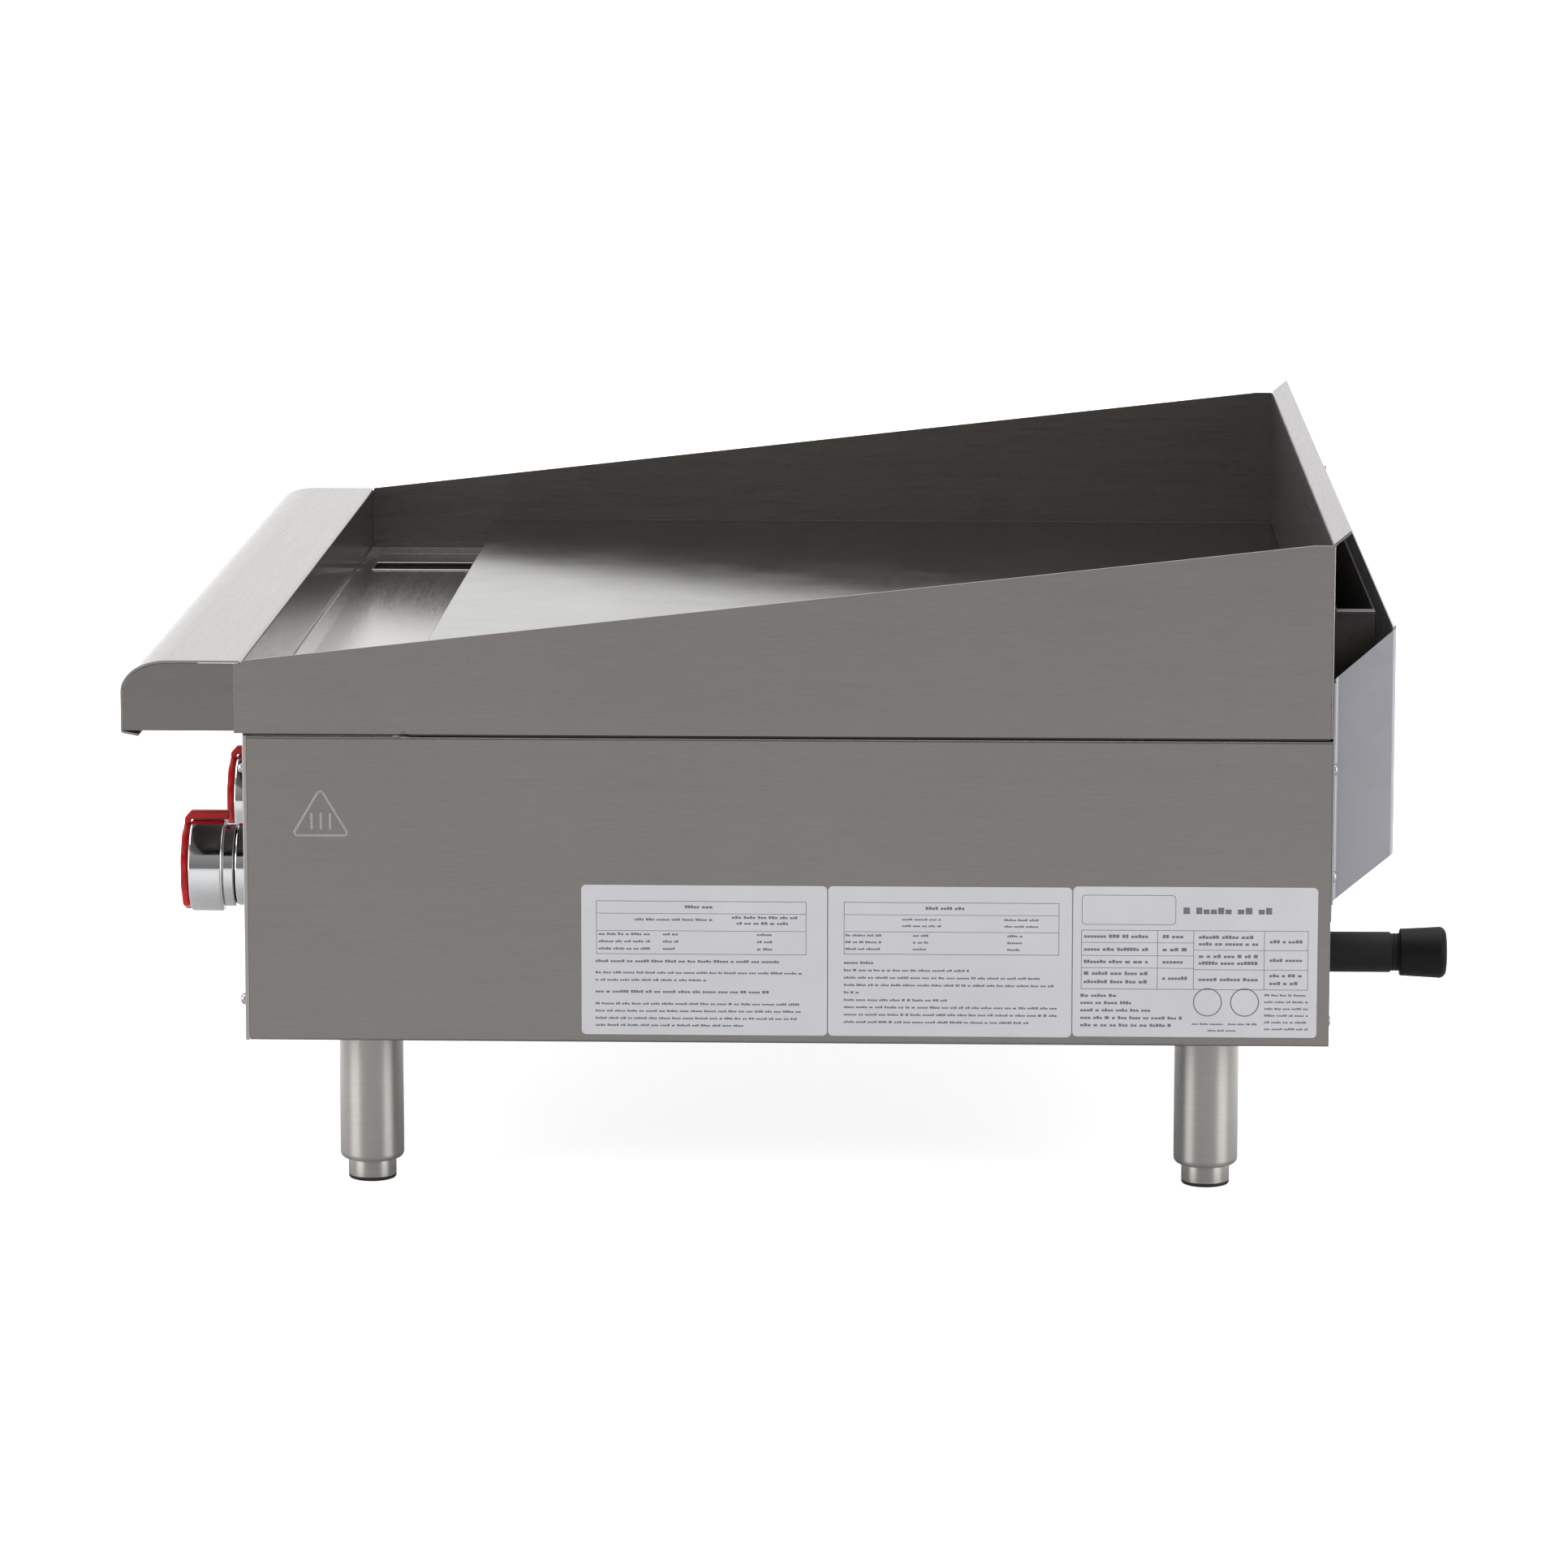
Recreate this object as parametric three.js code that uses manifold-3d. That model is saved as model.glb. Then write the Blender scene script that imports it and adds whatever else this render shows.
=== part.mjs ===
// A countertop gas griddle with three thermostats: a steel plate with splash guards and a grease trough,
// on a sheet metal cabinet that holds the burners, the gas line and a grease drawer, with a flue behind.
// Millimetres. +X is the cook's right hand, +Y goes to the back and +Z is up.
// The origin is on the worktop, in the middle of the object's outline.
import * as THREE from "three";
import { mergeVertices } from "three/addons/utils/BufferGeometryUtils.js";
import Module from "manifold-3d";

const wasm = await Module();
wasm.setup();

// ---- Driving dimensions ----
// Inside the griddle, Y is counted from the front panel's face and Z from the cabinet's underside.
const width = 914.4; // over the splash guards
const fit = 0.3; // gap left between pieces that touch
const cabinet = { depth: 692, height: 197.5, stand: 100.3, inset: 0.6, sheet: 1.2, flange: 15 };
const panels = { fold: 18, rearBelowTop: 51.5 };
const plate = { thickness: 24, front: 96.4, chamfer: 1 };
const guard = { sheet: 1.5, lift: 1.3, frontRise: 46.7, rearRise: 123.2, level: 12 };
const reliefNotch = { size: 2.5, place: 103 };
const splashLip = { run: 11.6, rise: 8.4 };
const ledge = { reach: 77, noseRun: 30, noseDrop: 20, lip: 11, lipDrop: 2.2, skirt: 45.5, capBack: 5 };
const trough = { drop: 2.8, frontRise: 8, endRise: 5, underPlate: 24 };
const drain = { width: 38, front: 8, length: 80 };
// Heights in the flue are counted from the cabinet's top.
const flue = { depth: 39.6, inset: 14, bottom: -106.1, wallBottom: -75.1, top: 70.8, frontTop: 36.5 };
const flueFoot = 13;
const riser = { front: 2, depth: 25, inset: 32, bottom: -47.5, top: 79.5, mouthTop: -3.5, rim: 8 };
const shield = { front: 150 };
const burner = { radius: 17, wall: 2, height: 124, mouth: 88, cross: 200, spread: 60, rearGap: 82 };
const mouthWindow = { front: 90, length: 8, height: 12 };
const shutter = { wall: 3.6, front: 84, length: 16, hole: 8, running: 0.4 };
const rail = { rearGap: 92, foot: 15 };
const knob = { count: 3, sideRoom: 52.1, height: 80.3, radius: 30.9, neckRadius: 27.7, wall: 2.2 };
const knobReach = { front: 55.1, step: 32.6, neck: 25.1, hub: 12, hubRadius: 9, socket: 46, backWall: 4.5 };
const grip = { face: 4.8, lobes: 10, scallop: 1.4, inset: 1.2, barWidth: 8, barHeight: 5.8, barBack: 29.8 };
const stem = { radius: 5, front: 44, back: 30, running: 0.3, flat: 1.5, panelHole: 8 };
const thermostat = { width: 60, front: 10, depth: 46, bottom: 56, top: 140, bossRadius: 11 };
const gasNeck = { radius: 9, length: 4 };
const bulb = { radius: 4.5, tube: 1.5, start: 330, length: 120, aside: -18, under: 3 };
const orifice = { radius: 8, nozzle: 4, hexLength: 16, reach: 91 };
const manifold = { size: 25, wall: 2.5, back: 60.5, port: 6, endRoom: 26 };
const pipe = { radius: 13.335, bore: 10.45, inset: 127.2, height: 37.8, shoulder: 46, end: 79, neckCut: 0.7 };
const cap = { front: 52, wall: 3.2, mouthWall: 1.9, side: 3.9, flare: 9, round: 5, running: 0.4 };
const pilot = { tube: 3, aside: 38, head: 7, headLength: 25, headStart: 225, height: 155 };
const drawer = { width: 112, depth: 352, bottom: 6, top: 88, running: 2.3, sheet: 1.2, roofGap: 4 };
const drawerFront = { width: 126, bottom: 3, top: 97, depth: 12 };
const handle = { length: 80, height: 60, reach: 32, radius: 4.5, corner: 14 };
const leg = { radius: 20.65, length: 86.4, insetX: 50.2, insetY: 76, wall: 1.5, round: 4 };
const foot = { radius: 15.6, running: 0.4, depth: 38, stemRadius: 6, stemTop: 12, chamfer: 1.5 };
const nutBlock = { top: 36, height: 8, running: 0.4 };
const airSlot = { rows: 2, perBurner: 4, width: 18, length: 180, pitch: 34, start: 175, rowPitch: 210 };

// ---- Sizes that follow from them ----
const half = width / 2;
const wallOutside = half - cabinet.inset;
const wallInside = wallOutside - cabinet.sheet;
const betweenWalls = wallInside - fit;
const guardInside = half - guard.sheet;
const guardBottom = cabinet.height + guard.lift;
const guardFrontTop = guardBottom + guard.frontRise;
const guardRearTop = guardBottom + guard.rearRise;
const plateBottom = cabinet.height + fit;
const plateTop = plateBottom + plate.thickness;
const plateBack = cabinet.depth - guard.sheet - fit;
const troughFloor = plateBottom - trough.drop;
const troughBottom = troughFloor - guard.sheet;
const floorClear = cabinet.sheet + fit;
const knobPitch = (width - 2 * knob.sideRoom) / knob.count;
const knobPlaces = Array.from({ length: knob.count }, (_, i) => (i - (knob.count - 1) / 2) * knobPitch);
const drawerRoomInside = -knobPlaces[0] + thermostat.width / 2;
const drawerX = -(drawerRoomInside + wallInside) / 2;
const housingHalf = drawer.width / 2 + drawer.running + drawer.sheet;
const drawerRoof = drawer.top + drawer.roofGap;
const drawerThrough = drawerFront.depth - drawer.sheet;
const chuteHalf = drain.width / 2 + 3.5;
const chuteEnds = [drain.front - 4, drain.front + drain.length + 4];
const burnerEnd = cabinet.depth - burner.rearGap;
const pipeX = half - pipe.inset;
const pipeEnd = cabinet.depth + pipe.end;
const lengthOver = pipeEnd + cap.running + cap.wall;
const flueTop = cabinet.height + flue.top;
const flueBack = cabinet.depth + fit + flue.depth;
const flueSkinX = wallOutside - flue.inset;

// ---- Finishes ----
const finish = (color, roughness, metalness) =>
  new THREE.MeshStandardMaterial({ color, roughness, metalness });
const brushed = () => finish(0x8c8a87, 0.38, 1);
const plateSteel = () => finish(0x9b9894, 0.3, 1);
const galvanised = () => finish(0x85878a, 0.55, 1);
const fluePaint = () => finish(0xa3a5ad, 0.5, 0.6);
const chrome = () => finish(0xd8d9dc, 0.08, 1);
const redPlastic = () => finish(0xb11217, 0.3, 0);
const blackPlastic = () => finish(0x1b1c1e, 0.55, 0);
const blackPipe = () => finish(0x232427, 0.6, 0.7);
const brass = () => finish(0xb28a45, 0.35, 1);
const castMetal = () => finish(0xa0a2a4, 0.5, 1);
const burnerSteel = () => finish(0x6d655c, 0.6, 1);

// ---- Shapes ----
const roundSides = 20;
const smallSides = 10;
const knobSides = 28;
const burnerSides = 12;
const over = 1; // how far a cut runs past the face it opens
const cornerShare = 1 - Math.SQRT1_2; // how far in from a rounded corner's edges the middle of its arc lies

// A geometry as a solid. A profile may run either way round, so a solid that is inside out is turned.
function solid(geometry) {
  const bare = new THREE.BufferGeometry();
  bare.setAttribute("position", geometry.getAttribute("position"));
  bare.setIndex(geometry.index);
  const merged = mergeVertices(bare, 1e-3);
  const triVerts = new Uint32Array(merged.index.array);
  const vertProperties = new Float32Array(merged.getAttribute("position").array);
  const make = () => new wasm.Manifold(new wasm.Mesh({ numProp: 3, vertProperties, triVerts }));
  const made = make();
  if (made.volume() > 0) return made;
  triVerts.reverse();
  return make();
}

function block(xs, ys, zs) {
  const spans = [xs, ys, zs].map(([a, b]) => Math.abs(b - a));
  const middles = [xs, ys, zs].map(([a, b]) => (a + b) / 2);
  return solid(new THREE.BoxGeometry(...spans).translate(...middles));
}

const centred = (span) => [-span, span];
const onSide = (side, from, to) => [side * from, side * to];

// A round bar from one place to another along an axis, with its centre line through "at".
function rod(axis, radius, from, to, at = [0, 0, 0], sides = roundSides) {
  const geometry = new THREE.CylinderGeometry(radius, radius, to - from, sides);
  geometry.translate(0, (from + to) / 2, 0);
  if (axis === "x") geometry.rotateZ(-Math.PI / 2);
  if (axis === "z") geometry.rotateX(Math.PI / 2);
  return solid(geometry.translate(...at));
}

// An outline in two axes, pushed along the third.
function prism(axis, points, from, to) {
  const shape = new THREE.Shape(points.map(([a, b]) => new THREE.Vector2(a, b)));
  const geometry = new THREE.ExtrudeGeometry(shape, { depth: Math.abs(to - from), bevelEnabled: false });
  geometry.translate(0, 0, Math.min(from, to));
  const x = new THREE.Vector3(1, 0, 0);
  const y = new THREE.Vector3(0, 1, 0);
  const z = new THREE.Vector3(0, 0, 1);
  const turn = new THREE.Matrix4();
  if (axis === "x") turn.makeBasis(y, z, x);
  if (axis === "y") turn.makeBasis(x, z, y);
  return solid(geometry.applyMatrix4(turn));
}

// A line of points moved sideways, to the left of the way it runs.
function movedLeft(points, distance) {
  const corners = points.map(([a, b]) => new THREE.Vector2(a, b));
  const heading = (i) => corners[i + 1].clone().sub(corners[i]).normalize();
  const leftOf = (d) => new THREE.Vector2(-d.y, d.x);
  return corners.map((corner, i) => {
    const before = leftOf(heading(Math.max(i - 1, 0)));
    const after = leftOf(heading(Math.min(i, corners.length - 2)));
    const mitre = before.clone().add(after).normalize();
    return corner.clone().addScaledVector(mitre, distance / mitre.dot(before)).toArray();
  });
}

// A bent sheet's outline: the points are its outer face, and the inner face runs to the left of them.
const folded = (points, thickness) => [...points, ...movedLeft(points, thickness).reverse()];

// A profile of [radius, place] points turned about an axis. A ring's profile ends where it starts.
function turned(axis, profile, sides = roundSides) {
  const geometry = new THREE.LatheGeometry(profile.map(([r, h]) => new THREE.Vector2(r, h)), sides);
  if (axis === "z") geometry.rotateX(Math.PI / 2);
  return solid(geometry);
}

const ring = (axis, profile, sides) => turned(axis, [...profile, profile[0]], sides);

function bentTube(points, radius, steps, sides = 8) {
  const outline = Array.from({ length: sides }, (_, i) => {
    const angle = (i / sides) * 2 * Math.PI;
    return new THREE.Vector2(radius * Math.cos(angle), radius * Math.sin(angle));
  });
  const stops = points.map((point) => new THREE.Vector3(...point));
  const path = new THREE.CatmullRomCurve3(stops, false, "chordal");
  const options = { steps, bevelEnabled: false, extrudePath: path };
  return solid(new THREE.ExtrudeGeometry(new THREE.Shape(outline), options));
}

const joined = (first, ...others) => others.reduce((sum, other) => sum.add(other), first);
const cut = (first, ...tools) => tools.reduce((rest, tool) => rest.subtract(tool), first);

function addPart(parent, name, shape, material, position = [0, 0, 0]) {
  const { vertProperties, triVerts } = shape.getMesh();
  const geometry = new THREE.BufferGeometry();
  geometry.setAttribute("position", new THREE.BufferAttribute(vertProperties, 3));
  geometry.setIndex(new THREE.BufferAttribute(triVerts, 1));
  geometry.computeVertexNormals();
  const mesh = new THREE.Mesh(geometry, material);
  mesh.name = name;
  mesh.position.set(...position);
  parent.add(mesh);
}

const sides = [["right", 1], ["left", -1]];

// ---- Cabinet ----
function sideWall(side) {
  const path = [
    [wallOutside - cabinet.flange, 0],
    [wallOutside, 0],
    [wallOutside, cabinet.height],
    [wallOutside - cabinet.flange, cabinet.height],
  ];
  const outline = folded(path, cabinet.sheet).map(([x, z]) => [side * x, z]);
  const wall = prism("y", outline, 0, cabinet.depth);
  const flangeEnd = plate.front + trough.underPlate + 2;
  const flangeHeights = [cabinet.height - cabinet.sheet - over, cabinet.height + over];
  return cut(wall, block(onSide(side, 0, wallInside), [-over, flangeEnd], flangeHeights));
}

function frontPanel() {
  const top = troughBottom - fit;
  const t = cabinet.sheet;
  const shell = cut(
    block(centred(betweenWalls), [0, panels.fold], [floorClear, top]),
    block(centred(betweenWalls - t), [t, panels.fold + over], [floorClear + t, top - t]),
  );
  const stemHoles = knobPlaces.map((x) => rod("y", stem.panelHole, -over, t + over, [x, 0, knob.height]));
  const opening = drawer.width / 2 + drawer.running;
  const drawerHole = block(
    [drawerX - opening, drawerX + opening],
    [-over, panels.fold + over],
    [drawer.bottom - 1.5, drawer.top + 1.5],
  );
  const chuteNotch = block(
    [drawerX - chuteHalf - fit, drawerX + chuteHalf + fit],
    [chuteEnds[0] - fit, panels.fold + over],
    [drawerRoof, top + over],
  );
  return cut(shell, ...stemHoles, drawerHole, chuteNotch);
}

function rearPanel() {
  const t = cabinet.sheet;
  const top = cabinet.height - panels.rearBelowTop;
  const shell = cut(
    block(centred(betweenWalls), [cabinet.depth - panels.fold, cabinet.depth], [floorClear, top]),
    block(
      centred(betweenWalls - t),
      [cabinet.depth - panels.fold - over, cabinet.depth - t],
      [floorClear + t, top - t],
    ),
  );
  const through = [cabinet.depth - t - over, cabinet.depth + over];
  return cut(shell, rod("y", pipe.radius + 3, ...through, [pipeX, 0, pipe.height]));
}

function bottomPan() {
  const pan = block(centred(wallOutside - cabinet.flange - fit), [0, cabinet.depth], [0, cabinet.sheet]);
  const slots = [];
  for (const x of knobPlaces) {
    for (let row = 0; row < airSlot.rows; row += 1) {
      const front = airSlot.start + row * airSlot.rowPitch;
      for (let i = 0; i < airSlot.perBurner; i += 1) {
        const middle = x + (i - (airSlot.perBurner - 1) / 2) * airSlot.pitch;
        const spanX = [middle - airSlot.width / 2, middle + airSlot.width / 2];
        slots.push(block(spanX, [front, front + airSlot.length], [-over, cabinet.sheet + over]));
      }
    }
  }
  return cut(pan, ...slots);
}

function heatShield() {
  const spanY = [shield.front, shield.front + cabinet.sheet];
  const through = [shield.front - over, shield.front + cabinet.sheet + over];
  const sheet = block(centred(betweenWalls), spanY, [floorClear, cabinet.height - floorClear]);
  const holes = knobPlaces.flatMap((x) => [
    rod("y", burner.radius + 1, ...through, [x, 0, burner.height]),
    rod("y", pilot.tube + 2, ...through, [x + pilot.aside, 0, pilot.height], smallSides),
    rod("y", bulb.tube + 2, ...through, [x + bulb.aside, 0, bulbHeight()], smallSides),
  ]);
  const pipeHole = rod("y", pipe.radius + 2, ...through, [pipeX, 0, pipe.height]);
  const housing = [drawerX - housingHalf - 1, drawerX + housingHalf + 1];
  return cut(sheet, ...holes, pipeHole, block(housing, through, [0, drawerRoof + 1]));
}

function burnerRail() {
  const back = cabinet.depth - rail.rearGap;
  const top = burner.height - burner.radius - fit;
  const path = [
    [back - rail.foot, floorClear],
    [back, floorClear],
    [back, top],
    [back - rail.foot, top],
  ];
  const strip = prism("x", folded(path, cabinet.sheet), -betweenWalls, betweenWalls);
  const through = [back - rail.foot, back + over];
  return cut(strip, rod("y", pipe.radius + 2, ...through, [pipeX, 0, pipe.height]));
}

// ---- Cooking top ----
function griddlePlate() {
  const c = plate.chamfer;
  const outline = [
    [plate.front, plateBottom],
    [plateBack, plateBottom],
    [plateBack, plateTop],
    [plate.front + c, plateTop],
    [plate.front, plateTop - c],
  ];
  return prism("x", outline, -(guardInside - fit), guardInside - fit);
}

function splashGuard(side) {
  const back = cabinet.depth - guard.sheet - fit;
  const underLedge = guardFrontTop - guard.sheet - fit;
  const outline = [
    [-ledge.capBack, guardBottom],
    [reliefNotch.place - reliefNotch.size, guardBottom],
    [reliefNotch.place, guardBottom + reliefNotch.size],
    [reliefNotch.place + reliefNotch.size, guardBottom],
    [back, guardBottom],
    [back, guardRearTop],
    [back - guard.level, guardRearTop],
    [fit, guardFrontTop],
    [fit, underLedge],
    [-ledge.capBack, underLedge],
  ];
  return prism("x", outline, ...onSide(side, guardInside, half));
}

function rearSplash() {
  const path = [
    [cabinet.depth, guardBottom],
    [cabinet.depth, guardRearTop],
    [cabinet.depth + splashLip.run, guardRearTop + splashLip.rise],
  ];
  return prism("x", folded(path, guard.sheet), -half, half);
}

// The ledge's outer face, from the foot of its back wall over the nose to the lip under its front edge.
// The nose is a quarter of an ellipse.
function ledgePath() {
  const centre = [ledge.noseRun - ledge.reach, guardFrontTop - ledge.noseDrop];
  const nose = new THREE.EllipseCurve(...centre, ledge.noseRun, ledge.noseDrop, Math.PI / 2, Math.PI, false);
  return [
    [0, guardFrontTop - ledge.skirt],
    [0, guardFrontTop],
    ...nose.getPoints(8).map((point) => point.toArray()),
    [-ledge.reach, guardBottom],
    [-ledge.reach + ledge.lip, guardBottom - ledge.lipDrop],
  ];
}

function frontLedge() {
  const path = ledgePath();
  const sheet = prism("x", folded(path, guard.sheet), -half, half);
  const guardTops = [guardBottom - over * 9, guardFrontTop - guard.sheet];
  const corners = sides.map(([, side]) =>
    block(onSide(side, guardInside - fit, half + over), [-ledge.capBack - fit, over], guardTops),
  );
  return cut(sheet, ...corners);
}

// A ledge cap fills the end of the ledge, inside its sheet.
function ledgeCap(side) {
  const inward = guard.sheet + fit;
  const overTop = movedLeft(ledgePath(), inward).slice(2, -2);
  const bottom = guardBottom + guard.sheet;
  const outline = [
    [-ledge.capBack - fit, bottom],
    [-ledge.capBack - fit, guardFrontTop - inward],
    ...overTop,
    [-ledge.reach + inward, bottom],
  ];
  return prism("x", outline, ...onSide(side, guardInside, half));
}

function greaseTrough() {
  const end = betweenWalls - fit;
  const t = guard.sheet;
  const floor = block(centred(end), [fit, plate.front + trough.underPlate], [troughBottom, troughFloor]);
  const front = block(centred(end), [fit, fit + t], [troughBottom, troughFloor + trough.frontRise]);
  const ends = sides.map(([, side]) =>
    block(onSide(side, end - t, end), [fit, plate.front - fit], [troughBottom, troughFloor + trough.endRise]),
  );
  const slot = block(
    [drawerX - drain.width / 2, drawerX + drain.width / 2],
    [drain.front, drain.front + drain.length],
    [troughBottom - over, troughFloor + over],
  );
  return cut(joined(floor, front, ...ends), slot);
}

function greaseChute() {
  const t = cabinet.sheet;
  const heights = [drawerRoof + fit, troughBottom - fit];
  return cut(
    block([drawerX - chuteHalf, drawerX + chuteHalf], chuteEnds, heights),
    block(
      [drawerX - chuteHalf + t, drawerX + chuteHalf - t],
      [chuteEnds[0] + t, chuteEnds[1] - t],
      [heights[0] - over, heights[1] + over],
    ),
  );
}

// ---- Flue ----
function flueBackPanel() {
  const foot = cabinet.depth + fit + cabinet.sheet;
  const path = [
    [foot, cabinet.height + flue.bottom - flueFoot],
    [foot, cabinet.height + flue.bottom],
    [flueBack, cabinet.height + flue.wallBottom],
    [flueBack, flueTop],
  ];
  return prism("x", folded(path, cabinet.sheet), -flueSkinX, flueSkinX);
}

function flueEnd(side) {
  const front = cabinet.depth + fit;
  const foot = front + cabinet.sheet;
  const back = flueBack - cabinet.sheet - fit;
  const slope = (flue.wallBottom - flue.bottom) / (flueBack - foot);
  const clear = (cabinet.sheet + fit) * Math.hypot(1, slope);
  const bottomAt = (y) => cabinet.height + flue.bottom + (y - foot) * slope + clear;
  const frontTop = cabinet.height + flue.frontTop;
  const outline = [
    [front, bottomAt(foot)],
    [foot, bottomAt(foot)],
    [back, bottomAt(back)],
    [back, flueTop],
    [front, frontTop],
  ];
  const inner = flueSkinX - cabinet.sheet;
  const skin = prism("x", outline, ...onSide(side, inner, flueSkinX));
  const wing = block(onSide(side, inner, wallOutside), [front, foot], [bottomAt(foot), frontTop]);
  return joined(skin, wing);
}

function flueRiser() {
  const end = wallOutside - riser.inset;
  const front = cabinet.depth + riser.front;
  const back = front + riser.depth;
  const t = cabinet.sheet;
  const [bottom, top, mouthTop] = [riser.bottom, riser.top, riser.mouthTop].map((z) => cabinet.height + z);
  const duct = cut(
    block(centred(end), [front, back], [bottom, top]),
    block(centred(end - t), [front + t, back - t], [bottom + t, top + over]),
    block(centred(end - t), [front - over, front + t + over], [bottom + t, mouthTop]),
  );
  const rims = sides.map(([, side]) =>
    block(onSide(side, end - t, end + riser.rim), [front, back], [top - t, top]),
  );
  const outlet = block(centred(end - t), [front + t, back - t], [top - 2 * t, top + over]);
  return cut(joined(duct, ...rims), outlet);
}

// ---- Gas line ----
// A mixing tube that feeds a cross tube, which feeds two long tubes with the flame ports.
function burnerForm(radius, front, back) {
  const { cross, height, spread } = burner;
  const mixing = rod("y", radius, front, cross, [0, 0, height], burnerSides);
  const bar = rod("x", radius, -spread, spread, [0, cross, height], burnerSides);
  const arms = centred(spread).flatMap((x) => {
    const bend = new THREE.SphereGeometry(radius, burnerSides, burnerSides / 2).rotateX(Math.PI / 2);
    const arm = rod("y", radius, cross, back, [x, 0, height], burnerSides);
    return [solid(bend.translate(x, cross, height)), arm];
  });
  return joined(mixing, bar, ...arms);
}

// The air windows through both sides of a burner's mouth, or of the sleeve on it.
function windows(reach, middle = burner.height) {
  const spanY = [mouthWindow.front, mouthWindow.front + mouthWindow.length];
  return block(centred(reach), spanY, [middle - mouthWindow.height / 2, middle + mouthWindow.height / 2]);
}

function burnerTube() {
  const { radius, wall, mouth } = burner;
  const inside = burnerForm(radius - wall, mouth - over, burnerEnd - wall);
  return cut(burnerForm(radius, mouth, burnerEnd), inside, windows(radius));
}

// The sleeve that turns on a burner's mouth to set its air, about the burner's own axis.
function airShutter() {
  const inside = burner.radius + shutter.running;
  const outside = inside + shutter.wall;
  const t = cabinet.sheet;
  const back = shutter.front + shutter.length;
  const sleeve = ring("y", [
    [shutter.hole, shutter.front],
    [outside, shutter.front],
    [outside, back],
    [inside, back],
    [inside, shutter.front + t],
    [shutter.hole, shutter.front + t],
  ]);
  return cut(sleeve, windows(outside + over, 0));
}

function orificeFitting() {
  const start = thermostat.front + thermostat.depth + gasNeck.length + fit;
  const hex = rod("y", orifice.radius, start, start + orifice.hexLength, [0, 0, burner.height], 6);
  const nozzle = rod("y", orifice.nozzle, start, orifice.reach, [0, 0, burner.height], smallSides);
  return joined(hex, nozzle);
}

function thermostatBody() {
  const { front, depth, bottom, top } = thermostat;
  const back = front + depth;
  const manifoldTop = pipe.height + manifold.size / 2;
  const manifoldMiddle = manifold.back - manifold.size / 2;
  const box = block(centred(thermostat.width / 2), [front, back], [bottom, top]);
  const boss = rod("y", thermostat.bossRadius, cabinet.sheet + fit, front + over, [0, 0, knob.height]);
  const { radius, length } = gasNeck;
  const inlet = rod("z", radius, manifoldTop + fit, bottom + over, [0, manifoldMiddle, 0], smallSides);
  const outlet = rod("y", radius, back - over, back + length, [0, 0, burner.height], smallSides);
  const bore = rod("y", stem.radius + stem.running, 0, stem.back + fit, [0, 0, knob.height]);
  const height = bulbHeight();
  const x = bulb.aside;
  const capillary = bentTube(
    [
      [x, front + 20, top - 4],
      [x, front + 22, top + 14],
      [x, front + 50, height - 8],
      [x, shield.front - 20, height],
      [x, shield.front + 40, height],
      [x, bulb.start + 4, height],
    ],
    bulb.tube,
    26,
    6,
  );
  const sensor = rod("y", bulb.radius, bulb.start, bulb.start + bulb.length, [x, 0, height], smallSides);
  return joined(cut(joined(box, boss, inlet, outlet), bore), capillary, sensor);
}

function bulbHeight() {
  return plateBottom - bulb.under - bulb.radius;
}

function gasManifold() {
  const s = manifold.size / 2;
  const middle = manifold.back - s;
  const left = knobPlaces[0] - manifold.endRoom;
  const right = Math.max(pipeX, knobPlaces.at(-1) + pilot.aside) + manifold.endRoom;
  const inner = s - manifold.wall;
  const heights = [pipe.height - s, pipe.height + s];
  const tube = cut(
    block([left, right], [middle - s, middle + s], heights),
    block(
      [left + manifold.wall, right - manifold.wall],
      [middle - inner, middle + inner],
      [pipe.height - inner, pipe.height + inner],
    ),
  );
  const ports = knobPlaces.map((x) =>
    rod("z", manifold.port, pipe.height, heights[1] + over, [x, middle, 0], smallSides),
  );
  const inlet = rod("y", pipe.bore, middle, manifold.back + over, [pipeX, 0, pipe.height], roundSides);
  return cut(tube, ...ports, inlet);
}

function inletPipe() {
  const front = manifold.back + fit;
  const thread = pipe.radius - pipe.neckCut;
  return ring("y", [
    [pipe.bore, front],
    [pipe.radius, front],
    [pipe.radius, cabinet.depth + pipe.shoulder],
    [thread, cabinet.depth + pipe.shoulder + pipe.neckCut],
    [thread, pipeEnd],
    [pipe.bore, pipeEnd],
  ]);
}

function gasCap() {
  const inside = pipe.radius - pipe.neckCut + cap.running;
  const bottom = pipeEnd + cap.running;
  const end = bottom + cap.wall;
  const front = cabinet.depth + cap.front;
  const outside = inside + cap.side;
  return turned("y", [
    [0, end],
    [outside - cap.round, end],
    [outside - cap.round * cornerShare, end - cap.round * cornerShare],
    [outside, end - cap.round],
    [outside, front + cap.flare],
    [inside + cap.mouthWall, front],
    [inside, front],
    [inside, bottom],
    [0, bottom],
  ]);
}

function pilotBurner() {
  const middle = manifold.back - manifold.size / 2;
  const start = pipe.height + manifold.size / 2 + fit;
  const x = pilot.aside;
  const tube = bentTube(
    [
      [x, middle, start],
      [x, middle, start + 24],
      [x, middle + 28, pilot.height - 34],
      [x, shield.front - 32, pilot.height - 3],
      [x, shield.front, pilot.height],
      [x, pilot.headStart + 3, pilot.height],
    ],
    pilot.tube,
    18,
  );
  const headEnd = pilot.headStart + pilot.headLength;
  return joined(tube, rod("y", pilot.head, pilot.headStart, headEnd, [x, 0, pilot.height], smallSides));
}

// ---- Controls, each about its own stem ----
function controlStem() {
  const bar = rod("y", stem.radius, -stem.front, stem.back);
  const { radius } = stem;
  const flatEnds = [-stem.front - over, -knobReach.hub];
  return cut(bar, block(centred(radius + over), flatEnds, [radius - stem.flat, radius + over]));
}

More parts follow.
